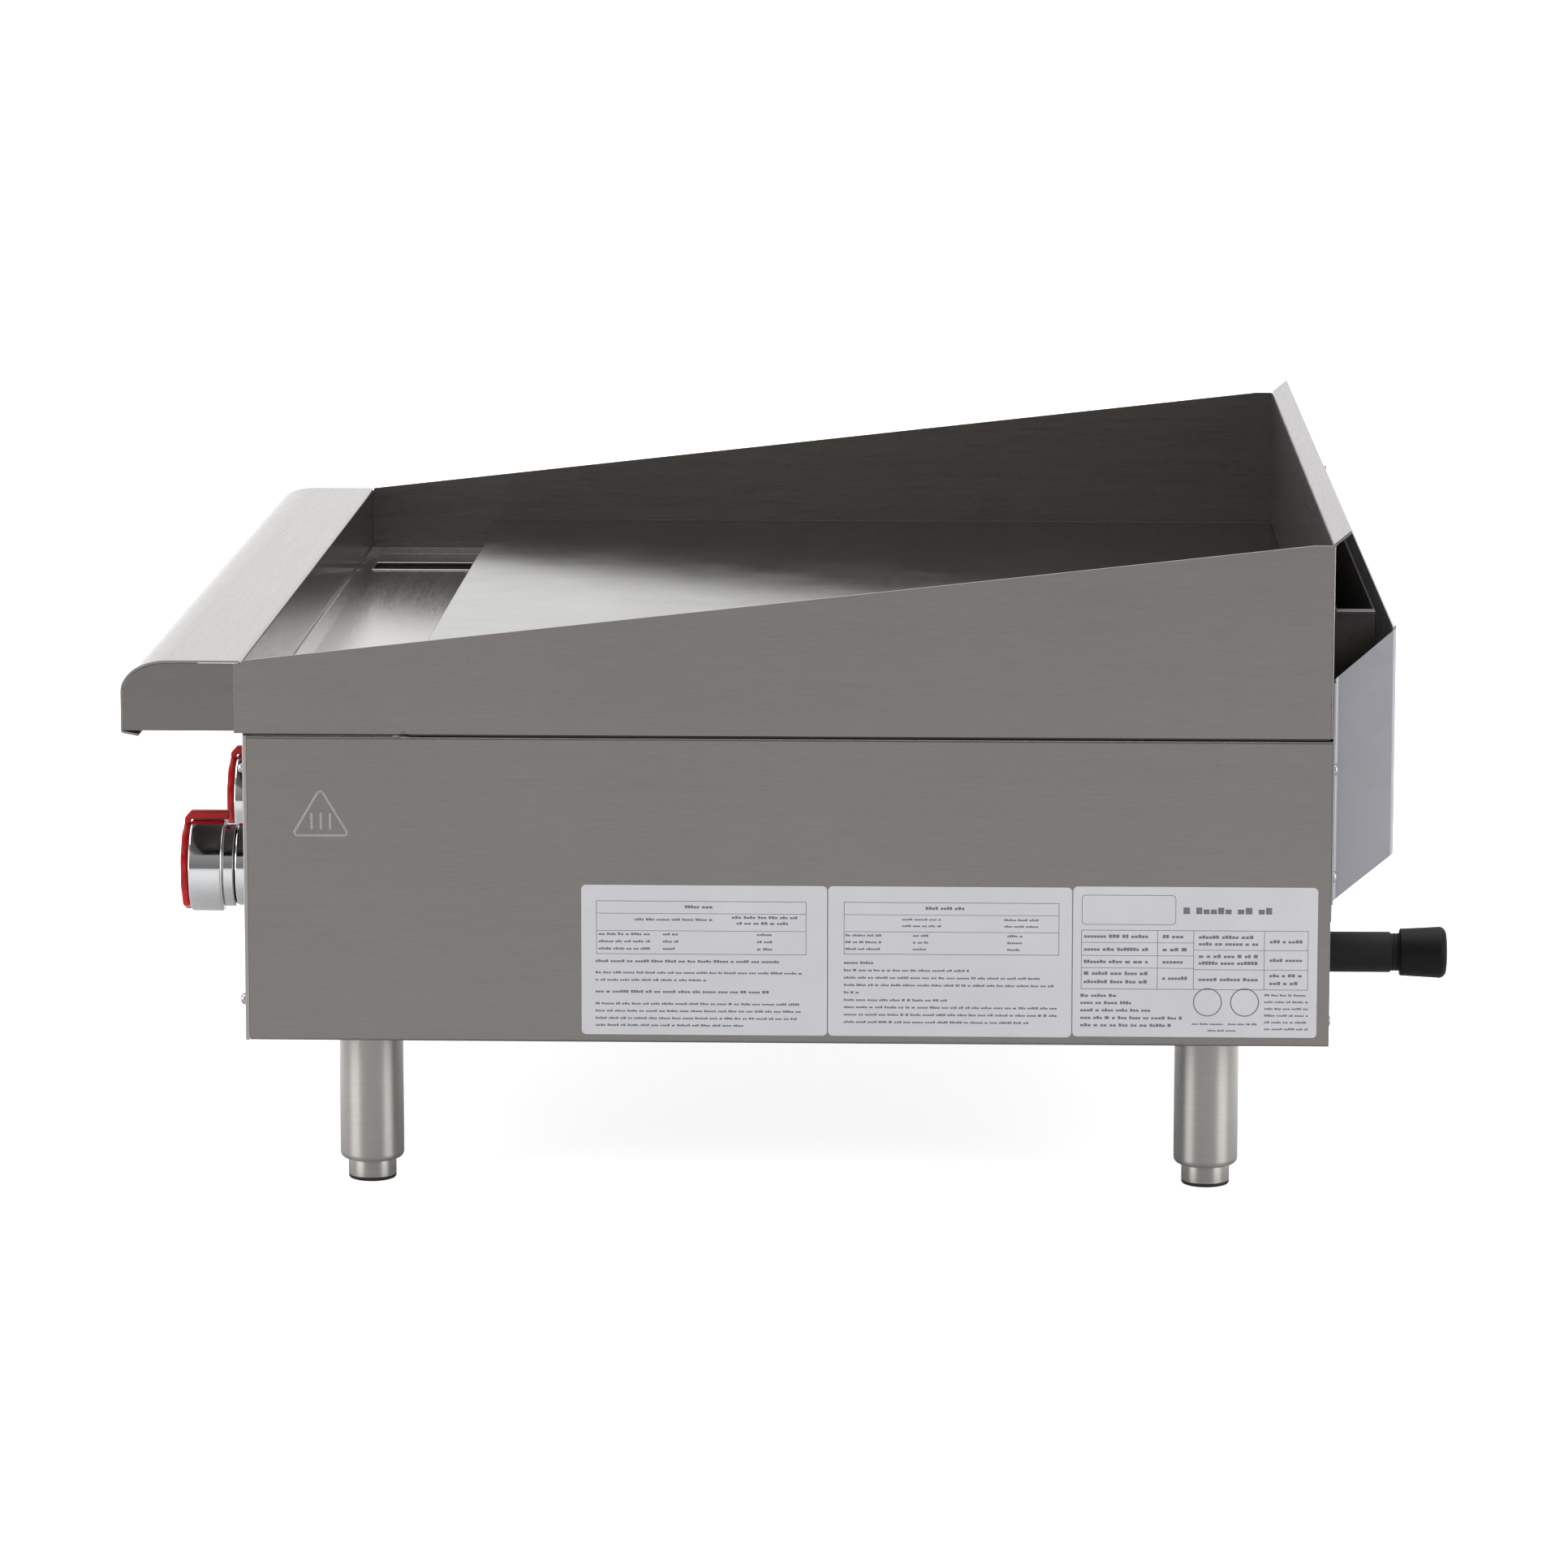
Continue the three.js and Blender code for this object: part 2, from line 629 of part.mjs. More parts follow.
function knobBarrel() {
  const inside = knob.neckRadius - knob.wall;
  const bore = stem.radius + stem.running;
  const { front, step, neck, hub, hubRadius, socket, backWall } = knobReach;
  return turned(
    "y",
    [
      [0, -front],
      [knob.radius - 1, -front],
      [knob.radius, -front + 1],
      [knob.radius, -step],
      [knob.neckRadius, -step],
      [knob.neckRadius, -neck],
      [inside, -neck],
      [inside, -front + backWall],
      [hubRadius, -front + backWall],
      [hubRadius, -hub],
      [bore, -hub],
      [bore, -socket],
      [0, -socket],
    ],
    knobSides,
  );
}

function knobGrip() {
  const back = -knobReach.front - fit;
  const faceRadius = knob.radius - grip.inset;
  const steps = grip.lobes * 6;
  const outline = Array.from({ length: steps }, (_, i) => {
    const angle = (i / steps) * 2 * Math.PI + Math.PI / 2;
    const radius = faceRadius - (grip.scallop * (1 - Math.cos((i / steps) * 2 * Math.PI * grip.lobes))) / 2;
    return [radius * Math.cos(angle), radius * Math.sin(angle)];
  });
  const barTop = knob.radius + fit + grip.barHeight;
  const face = prism("y", outline, back - grip.face, back);
  const bridge = block(centred(grip.barWidth / 2), [back - grip.face, back], [faceRadius / 2, barTop]);
  const bar = block(centred(grip.barWidth / 2), [back - over, -grip.barBack], [knob.radius + fit, barTop]);
  return joined(face, bridge, bar);
}

// ---- Grease drawer ----
function drawerHousing() {
  const t = drawer.sheet;
  const front = panels.fold + fit;
  const back = drawer.depth + drawer.running;
  const shell = cut(
    block([drawerX - housingHalf, drawerX + housingHalf], [front, back + t], [floorClear, drawerRoof]),
    block(
      [drawerX - housingHalf + t, drawerX + housingHalf - t],
      [front - over, back],
      [floorClear + t, drawerRoof - t],
    ),
  );
  const inlet = block(
    [drawerX - chuteHalf, drawerX + chuteHalf],
    [front - over, chuteEnds[1]],
    [drawerRoof - t - over, drawerRoof + over],
  );
  return cut(shell, inlet);
}

function drawerTray() {
  const t = drawer.sheet;
  const reach = drawer.width / 2;
  const spanY = [-drawerThrough, drawer.depth];
  return cut(
    block(centred(reach), spanY, [drawer.bottom, drawer.top]),
    block(centred(reach - t), [spanY[0] + t, spanY[1] - t], [drawer.bottom + t, drawer.top + over]),
  );
}

function drawerFace() {
  const t = drawer.sheet;
  const reach = drawerFront.width / 2;
  const front = -drawerThrough - fit - t;
  return cut(
    block([-reach, reach], [front, -fit], [drawerFront.bottom, drawerFront.top]),
    block([-reach + t, reach - t], [front + t, 0], [drawerFront.bottom + t, drawerFront.top - t]),
  );
}

function drawerHandle() {
  const back = -drawerThrough - 2 * fit - drawer.sheet;
  const front = back - handle.reach + handle.radius;
  const end = handle.length / 2 - handle.radius;
  const bend = handle.corner;
  return bentTube(
    [
      [-end, back, handle.height],
      [-end, front + bend, handle.height],
      [-end + bend * cornerShare, front + bend * cornerShare, handle.height],
      [-end + bend, front, handle.height],
      [0, front, handle.height],
      [end - bend, front, handle.height],
      [end - bend * cornerShare, front + bend * cornerShare, handle.height],
      [end, front + bend, handle.height],
      [end, back, handle.height],
    ],
    handle.radius,
    22,
    8,
  );
}

// ---- Legs, with Z counted from the cabinet's underside ----
function legTube() {
  const { radius, wall, round } = leg;
  const bottom = -fit - leg.length;
  const bore = foot.radius + foot.running;
  const nutBore = foot.stemRadius + nutBlock.running;
  return ring("z", [
    [radius, -fit],
    [radius, bottom + round],
    [radius - round * cornerShare, bottom + round * cornerShare],
    [radius - round, bottom],
    [bore, bottom],
    [bore, -nutBlock.top - nutBlock.height],
    [nutBore, -nutBlock.top - nutBlock.height],
    [nutBore, -nutBlock.top],
    [radius - wall, -nutBlock.top],
    [radius - wall, -fit],
  ]);
}

function levellingFoot() {
  const bottom = -cabinet.stand;
  return turned("z", [
    [0, bottom],
    [foot.radius - foot.chamfer, bottom],
    [foot.radius, bottom + foot.chamfer],
    [foot.radius, bottom + foot.depth],
    [foot.stemRadius, bottom + foot.depth],
    [foot.stemRadius, -foot.stemTop],
    [0, -foot.stemTop],
  ]);
}

// ---- Assembly ----
const griddle = new THREE.Group();
const body = new THREE.Group();
body.position.set(0, (ledge.reach - lengthOver) / 2, cabinet.stand);
griddle.add(body);

for (const [name, side] of sides) {
  addPart(body, `body_side_${name}`, sideWall(side), brushed());
  addPart(body, `splash_guard_${name}`, splashGuard(side), brushed());
  addPart(body, `ledge_cap_${name}`, ledgeCap(side), brushed());
  addPart(body, `flue_end_${name}`, flueEnd(side), fluePaint());
}
addPart(body, "front_panel", frontPanel(), brushed());
addPart(body, "rear_panel", rearPanel(), galvanised());
addPart(body, "bottom_pan", bottomPan(), galvanised());
addPart(body, "heat_shield", heatShield(), galvanised());
addPart(body, "burner_rail", burnerRail(), galvanised());
addPart(body, "griddle_plate", griddlePlate(), plateSteel());
addPart(body, "rear_splash", rearSplash(), brushed());
addPart(body, "front_ledge", frontLedge(), brushed());
addPart(body, "grease_trough", greaseTrough(), brushed());
addPart(body, "grease_chute", greaseChute(), brushed());
addPart(body, "flue_back_panel", flueBackPanel(), fluePaint());
addPart(body, "flue_riser", flueRiser(), galvanised());
addPart(body, "drawer_housing", drawerHousing(), galvanised());
addPart(body, "drawer_tray", drawerTray(), brushed(), [drawerX, 0, 0]);
addPart(body, "drawer_front", drawerFace(), brushed(), [drawerX, 0, 0]);
addPart(body, "drawer_handle", drawerHandle(), chrome(), [drawerX, 0, 0]);
addPart(body, "gas_manifold", gasManifold(), blackPipe());
addPart(body, "gas_inlet_pipe", inletPipe(), blackPipe(), [pipeX, 0, pipe.height]);
addPart(body, "gas_cap", gasCap(), blackPlastic(), [pipeX, 0, pipe.height]);

knobPlaces.forEach((x, i) => {
  const number = i + 1;
  addPart(body, `burner_${number}`, burnerTube(), burnerSteel(), [x, 0, 0]);
  addPart(body, `air_shutter_${number}`, airShutter(), galvanised(), [x, 0, burner.height]);
  addPart(body, `orifice_${number}`, orificeFitting(), brass(), [x, 0, 0]);
  addPart(body, `thermostat_${number}`, thermostatBody(), castMetal(), [x, 0, 0]);
  addPart(body, `pilot_${number}`, pilotBurner(), castMetal(), [x, 0, 0]);
  addPart(body, `control_stem_${number}`, controlStem(), brass(), [x, 0, knob.height]);
  addPart(body, `knob_${number}`, knobBarrel(), chrome(), [x, 0, knob.height]);
  addPart(body, `knob_grip_${number}`, knobGrip(), redPlastic(), [x, 0, knob.height]);
});

for (const [name, side] of sides) {
  for (const [end, y] of [["front", leg.insetY], ["rear", cabinet.depth - leg.insetY]]) {
    const place = [side * (half - leg.insetX), y, 0];
    addPart(body, `leg_${end}_${name}`, legTube(), brushed(), place);
    addPart(body, `foot_${end}_${name}`, levellingFoot(), castMetal(), place);
  }
}

export default griddle;
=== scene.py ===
import math
import random

import bmesh
import bpy
from mathutils import Matrix, Quaternion, Vector


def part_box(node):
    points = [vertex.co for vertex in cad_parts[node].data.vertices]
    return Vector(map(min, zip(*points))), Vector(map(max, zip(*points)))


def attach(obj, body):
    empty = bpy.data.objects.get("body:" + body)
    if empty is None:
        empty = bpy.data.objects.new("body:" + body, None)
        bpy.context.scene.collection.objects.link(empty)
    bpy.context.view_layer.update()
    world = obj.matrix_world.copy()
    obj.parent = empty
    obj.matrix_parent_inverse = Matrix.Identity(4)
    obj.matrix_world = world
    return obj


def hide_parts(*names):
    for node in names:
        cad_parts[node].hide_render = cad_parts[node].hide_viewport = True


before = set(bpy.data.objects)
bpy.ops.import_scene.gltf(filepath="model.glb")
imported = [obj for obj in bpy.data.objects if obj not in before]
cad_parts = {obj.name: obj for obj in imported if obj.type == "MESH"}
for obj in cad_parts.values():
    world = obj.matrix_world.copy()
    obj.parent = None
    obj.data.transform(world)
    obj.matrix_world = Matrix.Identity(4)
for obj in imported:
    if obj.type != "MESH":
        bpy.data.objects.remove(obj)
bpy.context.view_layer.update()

# Pieces are laid out in the maker's own measures: millimetres, with x from the middle,
# y back from the front panel's face and z up from the cabinet's underside.
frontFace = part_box("front_panel")[0].y
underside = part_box("body_side_right")[0].z
axisNames = "xyz"


def place(x, y, z):
    return Vector((x / 1000, frontFace + y / 1000, underside + z / 1000))


def span(node, axis):  # a CAD node's reach along one axis, in the same measures
    low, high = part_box(node)
    origin = (0, frontFace, underside)[axisNames.index(axis)]
    return tuple((getattr(end, axis) - origin) * 1000 for end in (low, high))


def spans(node):
    return [span(node, axis) for axis in axisNames]


class Wire:
    def __init__(self, tree, socket=None):
        self.tree = tree
        self.socket = socket

    def node(self, kind, settings=(), inputs=(), out=0):
        made = self.tree.nodes.new(kind)
        for name, value in dict(settings).items():
            if name == "stops":
                setStops(made.color_ramp, value)
            else:
                setattr(made, name, value)
        for name, value in dict(inputs).items():
            if isinstance(value, Wire):
                self.tree.links.new(value.socket, made.inputs[name])
            else:
                made.inputs[name].default_value = value
        return Wire(self.tree, made.outputs[out])

    def maths(self, operation, *values):
        return self.node("ShaderNodeMath", {"operation": operation}, enumerate(values))

    def __add__(self, other):
        return self.maths("ADD", self, other)

    def __sub__(self, other):
        return self.maths("SUBTRACT", self, other)

    def __rsub__(self, other):
        return self.maths("SUBTRACT", other, self)

    def __mul__(self, other):
        return self.maths("MULTIPLY", self, other)

    __radd__ = __add__
    __rmul__ = __mul__

    def between(self, low, high):  # 0 below low, 1 above high
        settings = {"clamp": True}
        inputs = {"Value": self, "From Min": low, "From Max": high}
        return self.node("ShaderNodeMapRange", settings, inputs)

    def stretched(self, scale):
        settings = {"operation": "MULTIPLY"}
        return self.node("ShaderNodeVectorMath", settings, {0: self, 1: scale})

    def noise(self, scale, detail=2.0, roughness=0.5):
        inputs = {"Vector": self.stretched(scale), "Scale": 1.0, "Detail": detail, "Roughness": roughness}
        return self.node("ShaderNodeTexNoise", {}, inputs)

    def blend(self, first, second):  # two colours, by this mask
        inputs = {0: self, 6: first, 7: second}
        return self.node("ShaderNodeMix", {"data_type": "RGBA"}, inputs, out=2)

    def split(self, axis):
        return self.node("ShaderNodeSeparateXYZ", {}, {0: self}, out=axisNames.index(axis))


def setStops(ramp, stops):
    while len(ramp.elements) < len(stops):
        ramp.elements.new(0.5)
    for element, (position, colour) in zip(ramp.elements, stops):
        element.position = position
        element.color = colour


def colour(red, green, blue):  # an sRGB colour, 0 to 255, as the linear values a shader takes
    def linear(value):
        value /= 255
        return value / 12.92 if value <= 0.04045 else ((value + 0.055) / 1.055) ** 2.4

    return (linear(red), linear(green), linear(blue), 1.0)


def shade(tone, share):  # a lighter or darker colour
    return tuple(min(value * share, 1.0) for value in tone[:3]) + (1.0,)


# Fixed values sit on the shader's own sockets. The wire that comes back carries the object's own space.
def newMaterial(name, **fixed):
    material = bpy.data.materials.new(name)
    material.use_nodes = True
    shader = material.node_tree.nodes["Principled BSDF"]
    for socket, value in fixed.items():
        shader.inputs[socket.replace("_", " ")].default_value = value
    return material, Wire(material.node_tree).node("ShaderNodeTexCoord", out=3), shader


def feed(material, shader, tint, rough=None, normal=None):
    for socket, wire in {"Base Color": tint, "Roughness": rough, "Normal": normal}.items():
        if wire:
            material.node_tree.links.new(wire.socket, shader.inputs[socket])
    return material


def bumped(wire, height, strength, distance):
    inputs = {"Strength": strength, "Distance": distance / 1000, "Height": height}
    return wire.node("ShaderNodeBump", {}, inputs)


steelLook = {
    "tone": colour(150, 146, 143),
    "dark": 0.89,
    "light": 1.08,
    "roughness": 0.3,
    "streakLength": 26.0,
    "streakWidth": 0.6,
    "bump": 0.16,
}


def brushedSteel(name, grain, look=steelLook, **changes):
    look = {**look, **changes}
    stretch = look.get("stretch", 0)
    material, where, shader = newMaterial(name, Metallic=1.0, Anisotropic=stretch, Anisotropic_Rotation=0.25)

    def along(length, thickness):
        return tuple(1000 / (length if axis in grain else thickness) for axis in axisNames)

    fine = where.noise(along(look["streakLength"], look["streakWidth"]), 3.0, 0.6)
    broad = where.noise(along(look["streakLength"] * 9, look["streakWidth"] * 14), 2.0)
    cloud = where.noise((7, 7, 7), 2.0)
    streaks = fine * 0.8 + broad * 0.2
    tone = (streaks * 0.8 + cloud * 0.2).between(0.3, 0.7)
    dark, light = shade(look["tone"], look["dark"]), shade(look["tone"], look["light"])
    rough = streaks.between(0.25, 0.75) * 0.1 + (look["roughness"] - 0.05)
    normal = bumped(where, fine, look["bump"], 0.05)
    return feed(material, shader, tone.blend(dark, light), rough, normal)


plateLook = {"tone": colour(116, 114, 111), "handling": 0.1}


def plateSteel(name):  # ground plate, with long grinding lines and faint rolling marks under them
    material, where, shader = newMaterial(name, Metallic=1.0)
    grinding = where.noise((1000 / 0.9, 1000 / 70, 1000 / 0.9), 3.0, 0.65)
    passes = where.noise((1000 / 22, 1000 / 900, 20), 1.0)
    handling = where.noise((16, 16, 16), 3.0, 0.6)
    tone = (grinding * 0.5 + passes * 0.3 + handling * 0.2).between(0.32, 0.68)
    tint = tone.blend(shade(plateLook["tone"], 0.84), shade(plateLook["tone"], 1.12))
    rough = grinding * 0.06 + handling * plateLook["handling"] + 0.055
    return feed(material, shader, tint, rough, bumped(where, grinding, 0.15, 0.06))


def galvanisedSteel(name, tone, spread=0.1):
    material, where, shader = newMaterial(name, Metallic=0.9)
    inputs = {"Vector": where, "Scale": 95.0, "Randomness": 1.0}
    spangle = where.node("ShaderNodeTexVoronoi", {"feature": "F1"}, inputs, out=1).split("x")
    haze = where.noise((22, 22, 22), 4.0, 0.6)
    mask = (spangle * 0.55 + haze * 0.45).between(0.15, 0.85)
    tint = mask.blend(shade(tone, 1 - spread), shade(tone, 1 + spread))
    fine = where.noise((420, 420, 420), 2.0)
    return feed(material, shader, tint, mask * 0.16 + 0.36, bumped(where, fine, 0.08, 0.1))


def chromePlate(name):
    material, where, shader = newMaterial(name, Metallic=1.0)
    haze = where.noise((160, 160, 160), 3.0)
    tint = haze.blend(colour(222, 223, 225), colour(240, 241, 242))
    ripple = where.noise((60, 60, 60), 1.0)
    return feed(material, shader, tint, haze * 0.08 + 0.04, bumped(where, ripple, 0.03, 0.2))


def mouldedPlastic(name, tone, roughness, grainSize, bump, gloss=0.5):
    material, where, shader = newMaterial(name)
    shader.inputs["Specular IOR Level"].default_value = gloss
    grain = where.noise((1000 / grainSize,) * 3, 3.0, 0.6)
    cloud = where.noise((45, 45, 45), 2.0)
    tint = (grain * 0.4 + cloud * 0.6).between(0.3, 0.7).blend(shade(tone, 0.82), shade(tone, 1.15))
    rough = grain * 0.16 + (roughness - 0.08)
    return feed(material, shader, tint, rough, bumped(where, grain, bump, 0.1))


def paintedIron(name, tone):
    material, where, shader = newMaterial(name, Metallic=0.2, Specular_IOR_Level=0.25)
    scale = where.noise((260, 260, 260), 4.0, 0.7)
    lines = where.noise((500, 25, 500), 2.0)
    tint = scale.between(0.35, 0.65).blend(shade(tone, 0.7), shade(tone, 1.35))
    rough = scale * 0.25 + 0.45
    return feed(material, shader, tint, rough, bumped(where, scale * 0.7 + lines * 0.3, 0.3, 0.12))


def plainMetal(name, tone, roughness, size, metallic=1.0):  # cast, turned and stamped small parts
    material, where, shader = newMaterial(name, Metallic=metallic)
    skin = where.noise((1000 / size,) * 3, 4.0, 0.6)
    broad = where.noise((70, 70, 70), 2.0)
    tint = (skin * 0.5 + broad * 0.5).between(0.3, 0.7).blend(shade(tone, 0.8), shade(tone, 1.15))
    rough = skin * 0.2 + (roughness - 0.1)
    return feed(material, shader, tint, rough, bumped(where, skin, 0.2, 0.1))


def burnerSteel(name):  # blued and browned by the first firing, in patches drawn out front to back
    material, where, shader = newMaterial(name, Metallic=0.9)
    heat = where.noise((14, 5, 14), 3.0, 0.6).between(0.3, 0.75)
    stops = [
        (0.0, colour(118, 108, 96)),
        (0.45, colour(134, 112, 84)),
        (0.7, colour(96, 88, 96)),
        (1.0, colour(72, 80, 96)),
    ]
    tint = where.node("ShaderNodeValToRGB", {"stops": stops}, {"Fac": heat})
    skin = where.noise((500, 500, 500), 3.0)
    return feed(material, shader, tint, skin * 0.2 + 0.4, bumped(where, skin, 0.2, 0.1))


def labelFilm(name):
    material, where, shader = newMaterial(name)
    weave = where.noise((900, 900, 900), 2.0)
    cloud = where.noise((30, 30, 30), 2.0)
    tint = (weave * 0.4 + cloud * 0.6).blend(colour(154, 154, 158), colour(167, 167, 171))
    return feed(material, shader, tint, cloud * 0.15 + 0.35, bumped(where, cloud, 0.05, 0.1))


def printedInk(name, tone):
    material, where, shader = newMaterial(name)
    speckle = where.noise((1400, 1400, 1400), 2.0)
    tint = speckle.blend(shade(tone, 0.8), shade(tone, 1.3))
    return feed(material, shader, tint, speckle * 0.2 + 0.45)


print("finishes")
sideSteel = brushedSteel("brushed steel, lengthwise", "y", tone=colour(141, 137, 134))
# A lighter, smoother copy of the side steel for the emblem and drain rim: partly a smoother finish, partly a
# painted highlight.
pressedHighlightSteel = brushedSteel("pressed edges, smoother with painted highlight", "y", tone=colour(172, 169, 166), roughness=0.24)
# A lighter copy of the brushed steel: painted highlight along the folds at the cabinet's front corners.
foldHighlightSteel = brushedSteel("fold steel, painted highlight", "z", tone=colour(172, 169, 166), roughness=0.34)
crossSteel = brushedSteel("brushed steel, crosswise", "x", roughness=0.22)
troughSteel = brushedSteel("brushed trough", "x", tone=colour(191, 187, 185), roughness=0.17)
splashSteel = brushedSteel("brushed rear splash", "x", tone=colour(138, 133, 134), roughness=0.24)
legSteel = brushedSteel("satin leg tube", "xy", tone=colour(190, 187, 183), roughness=0.42, streakLength=18.0,
                        stretch=0.8)
capSteel = brushedSteel("brushed steel, ledge ends", "y", tone=colour(128, 124, 121))
# Rougher steel with a darker tone for the ledge's underside: partly an unpolished finish, partly painted
# shade.
undersideShadeSteel = brushedSteel("rough sheet underside, painted shade", "x", tone=colour(96, 94, 92), roughness=0.5)
footSteel = brushedSteel("turned steel foot", "xy", tone=colour(198, 195, 190), roughness=0.4, stretch=0.8)
platedSteel = plateSteel("ground griddle plate")
galvanised = galvanisedSteel("galvanised sheet", colour(128, 129, 132))
# The duct riser is painted near-black: painted shade for the inside of the flue.
ductShadeSheet = mouldedPlastic("duct sheet, painted shade", colour(52, 50, 48), 0.85, 2.5, 0.1, 0.04)
flueSteel = galvanisedSteel("aluminised flue sheet", colour(167, 167, 173), 0.04)
chrome = chromePlate("chrome plate")
redPlastic = mouldedPlastic("red moulded plastic", colour(158, 5, 7), 0.34, 1.2, 0.06, 0.3)
blackPlastic = mouldedPlastic("black moulded plastic", colour(15, 14, 13), 0.5, 0.5, 0.2, 0.14)
rubber = mouldedPlastic("black foot rubber", colour(30, 29, 29), 0.7, 0.7, 0.3)
blackPipe = paintedIron("black iron pipe", colour(17, 16, 15))
brass = plainMetal("turned brass", colour(190, 152, 84), 0.3, 0.6)
castMetal = plainMetal("cast aluminium", colour(150, 151, 153), 0.5, 1.1)
screwSteel = plainMetal("zinc plated screw", colour(188, 188, 190), 0.28, 0.9)
firedSteel = burnerSteel("fired burner steel")
labelPaper = labelFilm("label film")
ink = printedInk("label ink", colour(84, 84, 92))
dialWhite = printedInk("dial white", colour(214, 212, 206))


def rounded(points, radius, steps=5):  # an open line with its corners turned into arcs
    line = [Vector(point) for point in points]
    made = [line[0]]
    for before, corner, after in zip(line, line[1:], line[2:]):
        first, second = (before - corner).normalized(), (after - corner).normalized()
        angle = first.angle(second)
        if math.pi - angle < 0.2:
            made.append(corner)
            continue
        reach = min(radius / math.tan(angle / 2), (before - corner).length / 2, (after - corner).length / 2)
        middle = corner + (first + second).normalized() * (reach / math.cos(angle / 2))
        arm, end = corner + first * reach - middle, corner + second * reach - middle
        sweep = arm.angle_signed(end)
        made += [middle + Matrix.Rotation(-sweep * i / steps, 2) @ arm for i in range(steps + 1)]
    return [tuple(point) for point in made + [line[-1]]]


def closedRound(points, radius, steps=5):  # the same for a closed outline
    looped = [points[-1], *points, points[0]]
    return rounded(looped, radius, steps)[1:-1]


def movedLeft(points, distance):
    line = [Vector(point) for point in points]
    ways = [(b - a).normalized() for a, b in zip(line, line[1:])]
    moved = []
    for i, corner in enumerate(line):
        before, after = ways[max(i - 1, 0)], ways[min(i, len(ways) - 1)]
        sides = Vector((-before.y, before.x)), Vector((-after.y, after.x))
        mitre = (sides[0] + sides[1]).normalized()
        moved.append(tuple(corner + mitre * (distance / mitre.dot(sides[0]))))
    return moved


def rectangle(firsts, seconds):  # its four corners in turn
    (a, b), (c, d) = firsts, seconds
    return [(a, c), (b, c), (b, d), (a, d)]


def quarterTurn(steps):  # the sine and cosine at each step of a quarter of a circle
    angles = [math.pi / 2 * i / steps for i in range(steps + 1)]
    return [(math.sin(angle), math.cos(angle)) for angle in angles]


def sheetOutline(points, thickness, radius):  # the outer face runs along the points
    outer = rounded(points, radius)
    return outer + movedLeft(outer, thickness)[::-1]


def newPiece(name, corners, faces, material):  # corners are in the maker's measures
    mesh = bpy.data.meshes.new(name)
    mesh.from_pydata([place(*corner) for corner in corners], [], faces)
    mesh.validate()
    piece = bpy.data.objects.new(name, mesh)
    bpy.context.scene.collection.objects.link(piece)
    mesh.materials.append(material)
    mesh.shade_smooth()
    outward(piece)
    return piece


def outward(piece):  # all faces turned the same way, facing out
    work = bmesh.new()
    work.from_mesh(piece.data)
    bmesh.ops.recalc_face_normals(work, faces=work.faces)
    work.to_mesh(piece.data)
    work.free()


def finished(piece, body, slot, *nodes):
    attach(piece, body)
    if nodes:
        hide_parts(*nodes)
    return piece


def softened(piece, width, segments=2, angle=35):
    bevel = piece.modifiers.new("soft edges", "BEVEL")
    bevel.width = width / 1000
    bevel.segments = segments
    bevel.limit_method = "ANGLE"
    bevel.angle_limit = math.radians(angle)
    weighted = piece.modifiers.new("flat faces stay flat", "WEIGHTED_NORMAL")
    weighted.keep_sharp = True
    return piece


def toSpace(axis, first, second, along):  # an outline's two measures and its push, as x, y, z
    if axis == "x":
        return (along, first, second)
    if axis == "y":
        return (first, along, second)
    return (first, second, along)


def pushed(name, outline, axis, start, end, material):
    count = len(outline)
    corners = [toSpace(axis, a, b, along) for along in (start, end) for a, b in outline]
    faces = [tuple(range(count)), tuple(range(2 * count - 1, count - 1, -1))]
    faces += [(i, (i + 1) % count, (i + 1) % count + count, i + count) for i in range(count)]
    return newPiece(name, corners, faces, material)


def turned(name, profile, axis, centre, material, sides=96, lift=None):
    # profile points are (radius, place along the axis); a radius of 0 closes an end
    corners, rings, faces = [], [], []
    for step, (radius, along) in enumerate(profile):
        if radius == 0:
            rings.append([len(corners)])
            corners.append(onAxis(axis, centre, 0, 0, along))
            continue
        ring = []
        for i in range(sides):
            angle = 2 * math.pi * i / sides
            reach = radius + (lift(angle, step) if lift else 0)
            ring.append(len(corners))
            corners.append(onAxis(axis, centre, reach * math.cos(angle), reach * math.sin(angle), along))
        rings.append(ring)
    loops = zip(rings, rings[1:] + rings[:1]) if len(rings[0]) > 1 else zip(rings, rings[1:])
    for low, high in loops:
        for i in range(sides):
            j = (i + 1) % sides
            if len(low) == 1 and len(high) == 1:
                break
            if len(low) == 1:
                faces.append((low[0], high[j], high[i]))
            elif len(high) == 1:
                faces.append((low[i], low[j], high[0]))
            else:
                faces.append((low[i], low[j], high[j], high[i]))
    return newPiece(name, corners, faces, material)


def onAxis(axis, centre, first, second, along):
    turnedOut = {"x": (along, first, second), "y": (first, along, second), "z": (first, second, along)}
    return tuple(c + t for c, t in zip(centre, turnedOut[axis]))


def swept(name, path, radius, material, sides=20):
    line = [Vector(point) for point in path]
    across = Vector((0, 0, 1))
    corners, faces = [], []
    for i, point in enumerate(line):
        way = (line[min(i + 1, len(line) - 1)] - line[max(i - 1, 0)]).normalized()
        side = way.cross(across).normalized()
        for k in range(sides):
            angle = 2 * math.pi * k / sides
            corners.append(tuple(point + (side * math.cos(angle) + across * math.sin(angle)) * radius))
    for i in range(len(line) - 1):
        for k in range(sides):
            a, b = i * sides + k, i * sides + (k + 1) % sides
            faces.append((a, b, b + sides, a + sides))
    faces += [tuple(range(sides)), tuple(range(len(corners) - sides, len(corners)))]
    return newPiece(name, corners, faces, material)


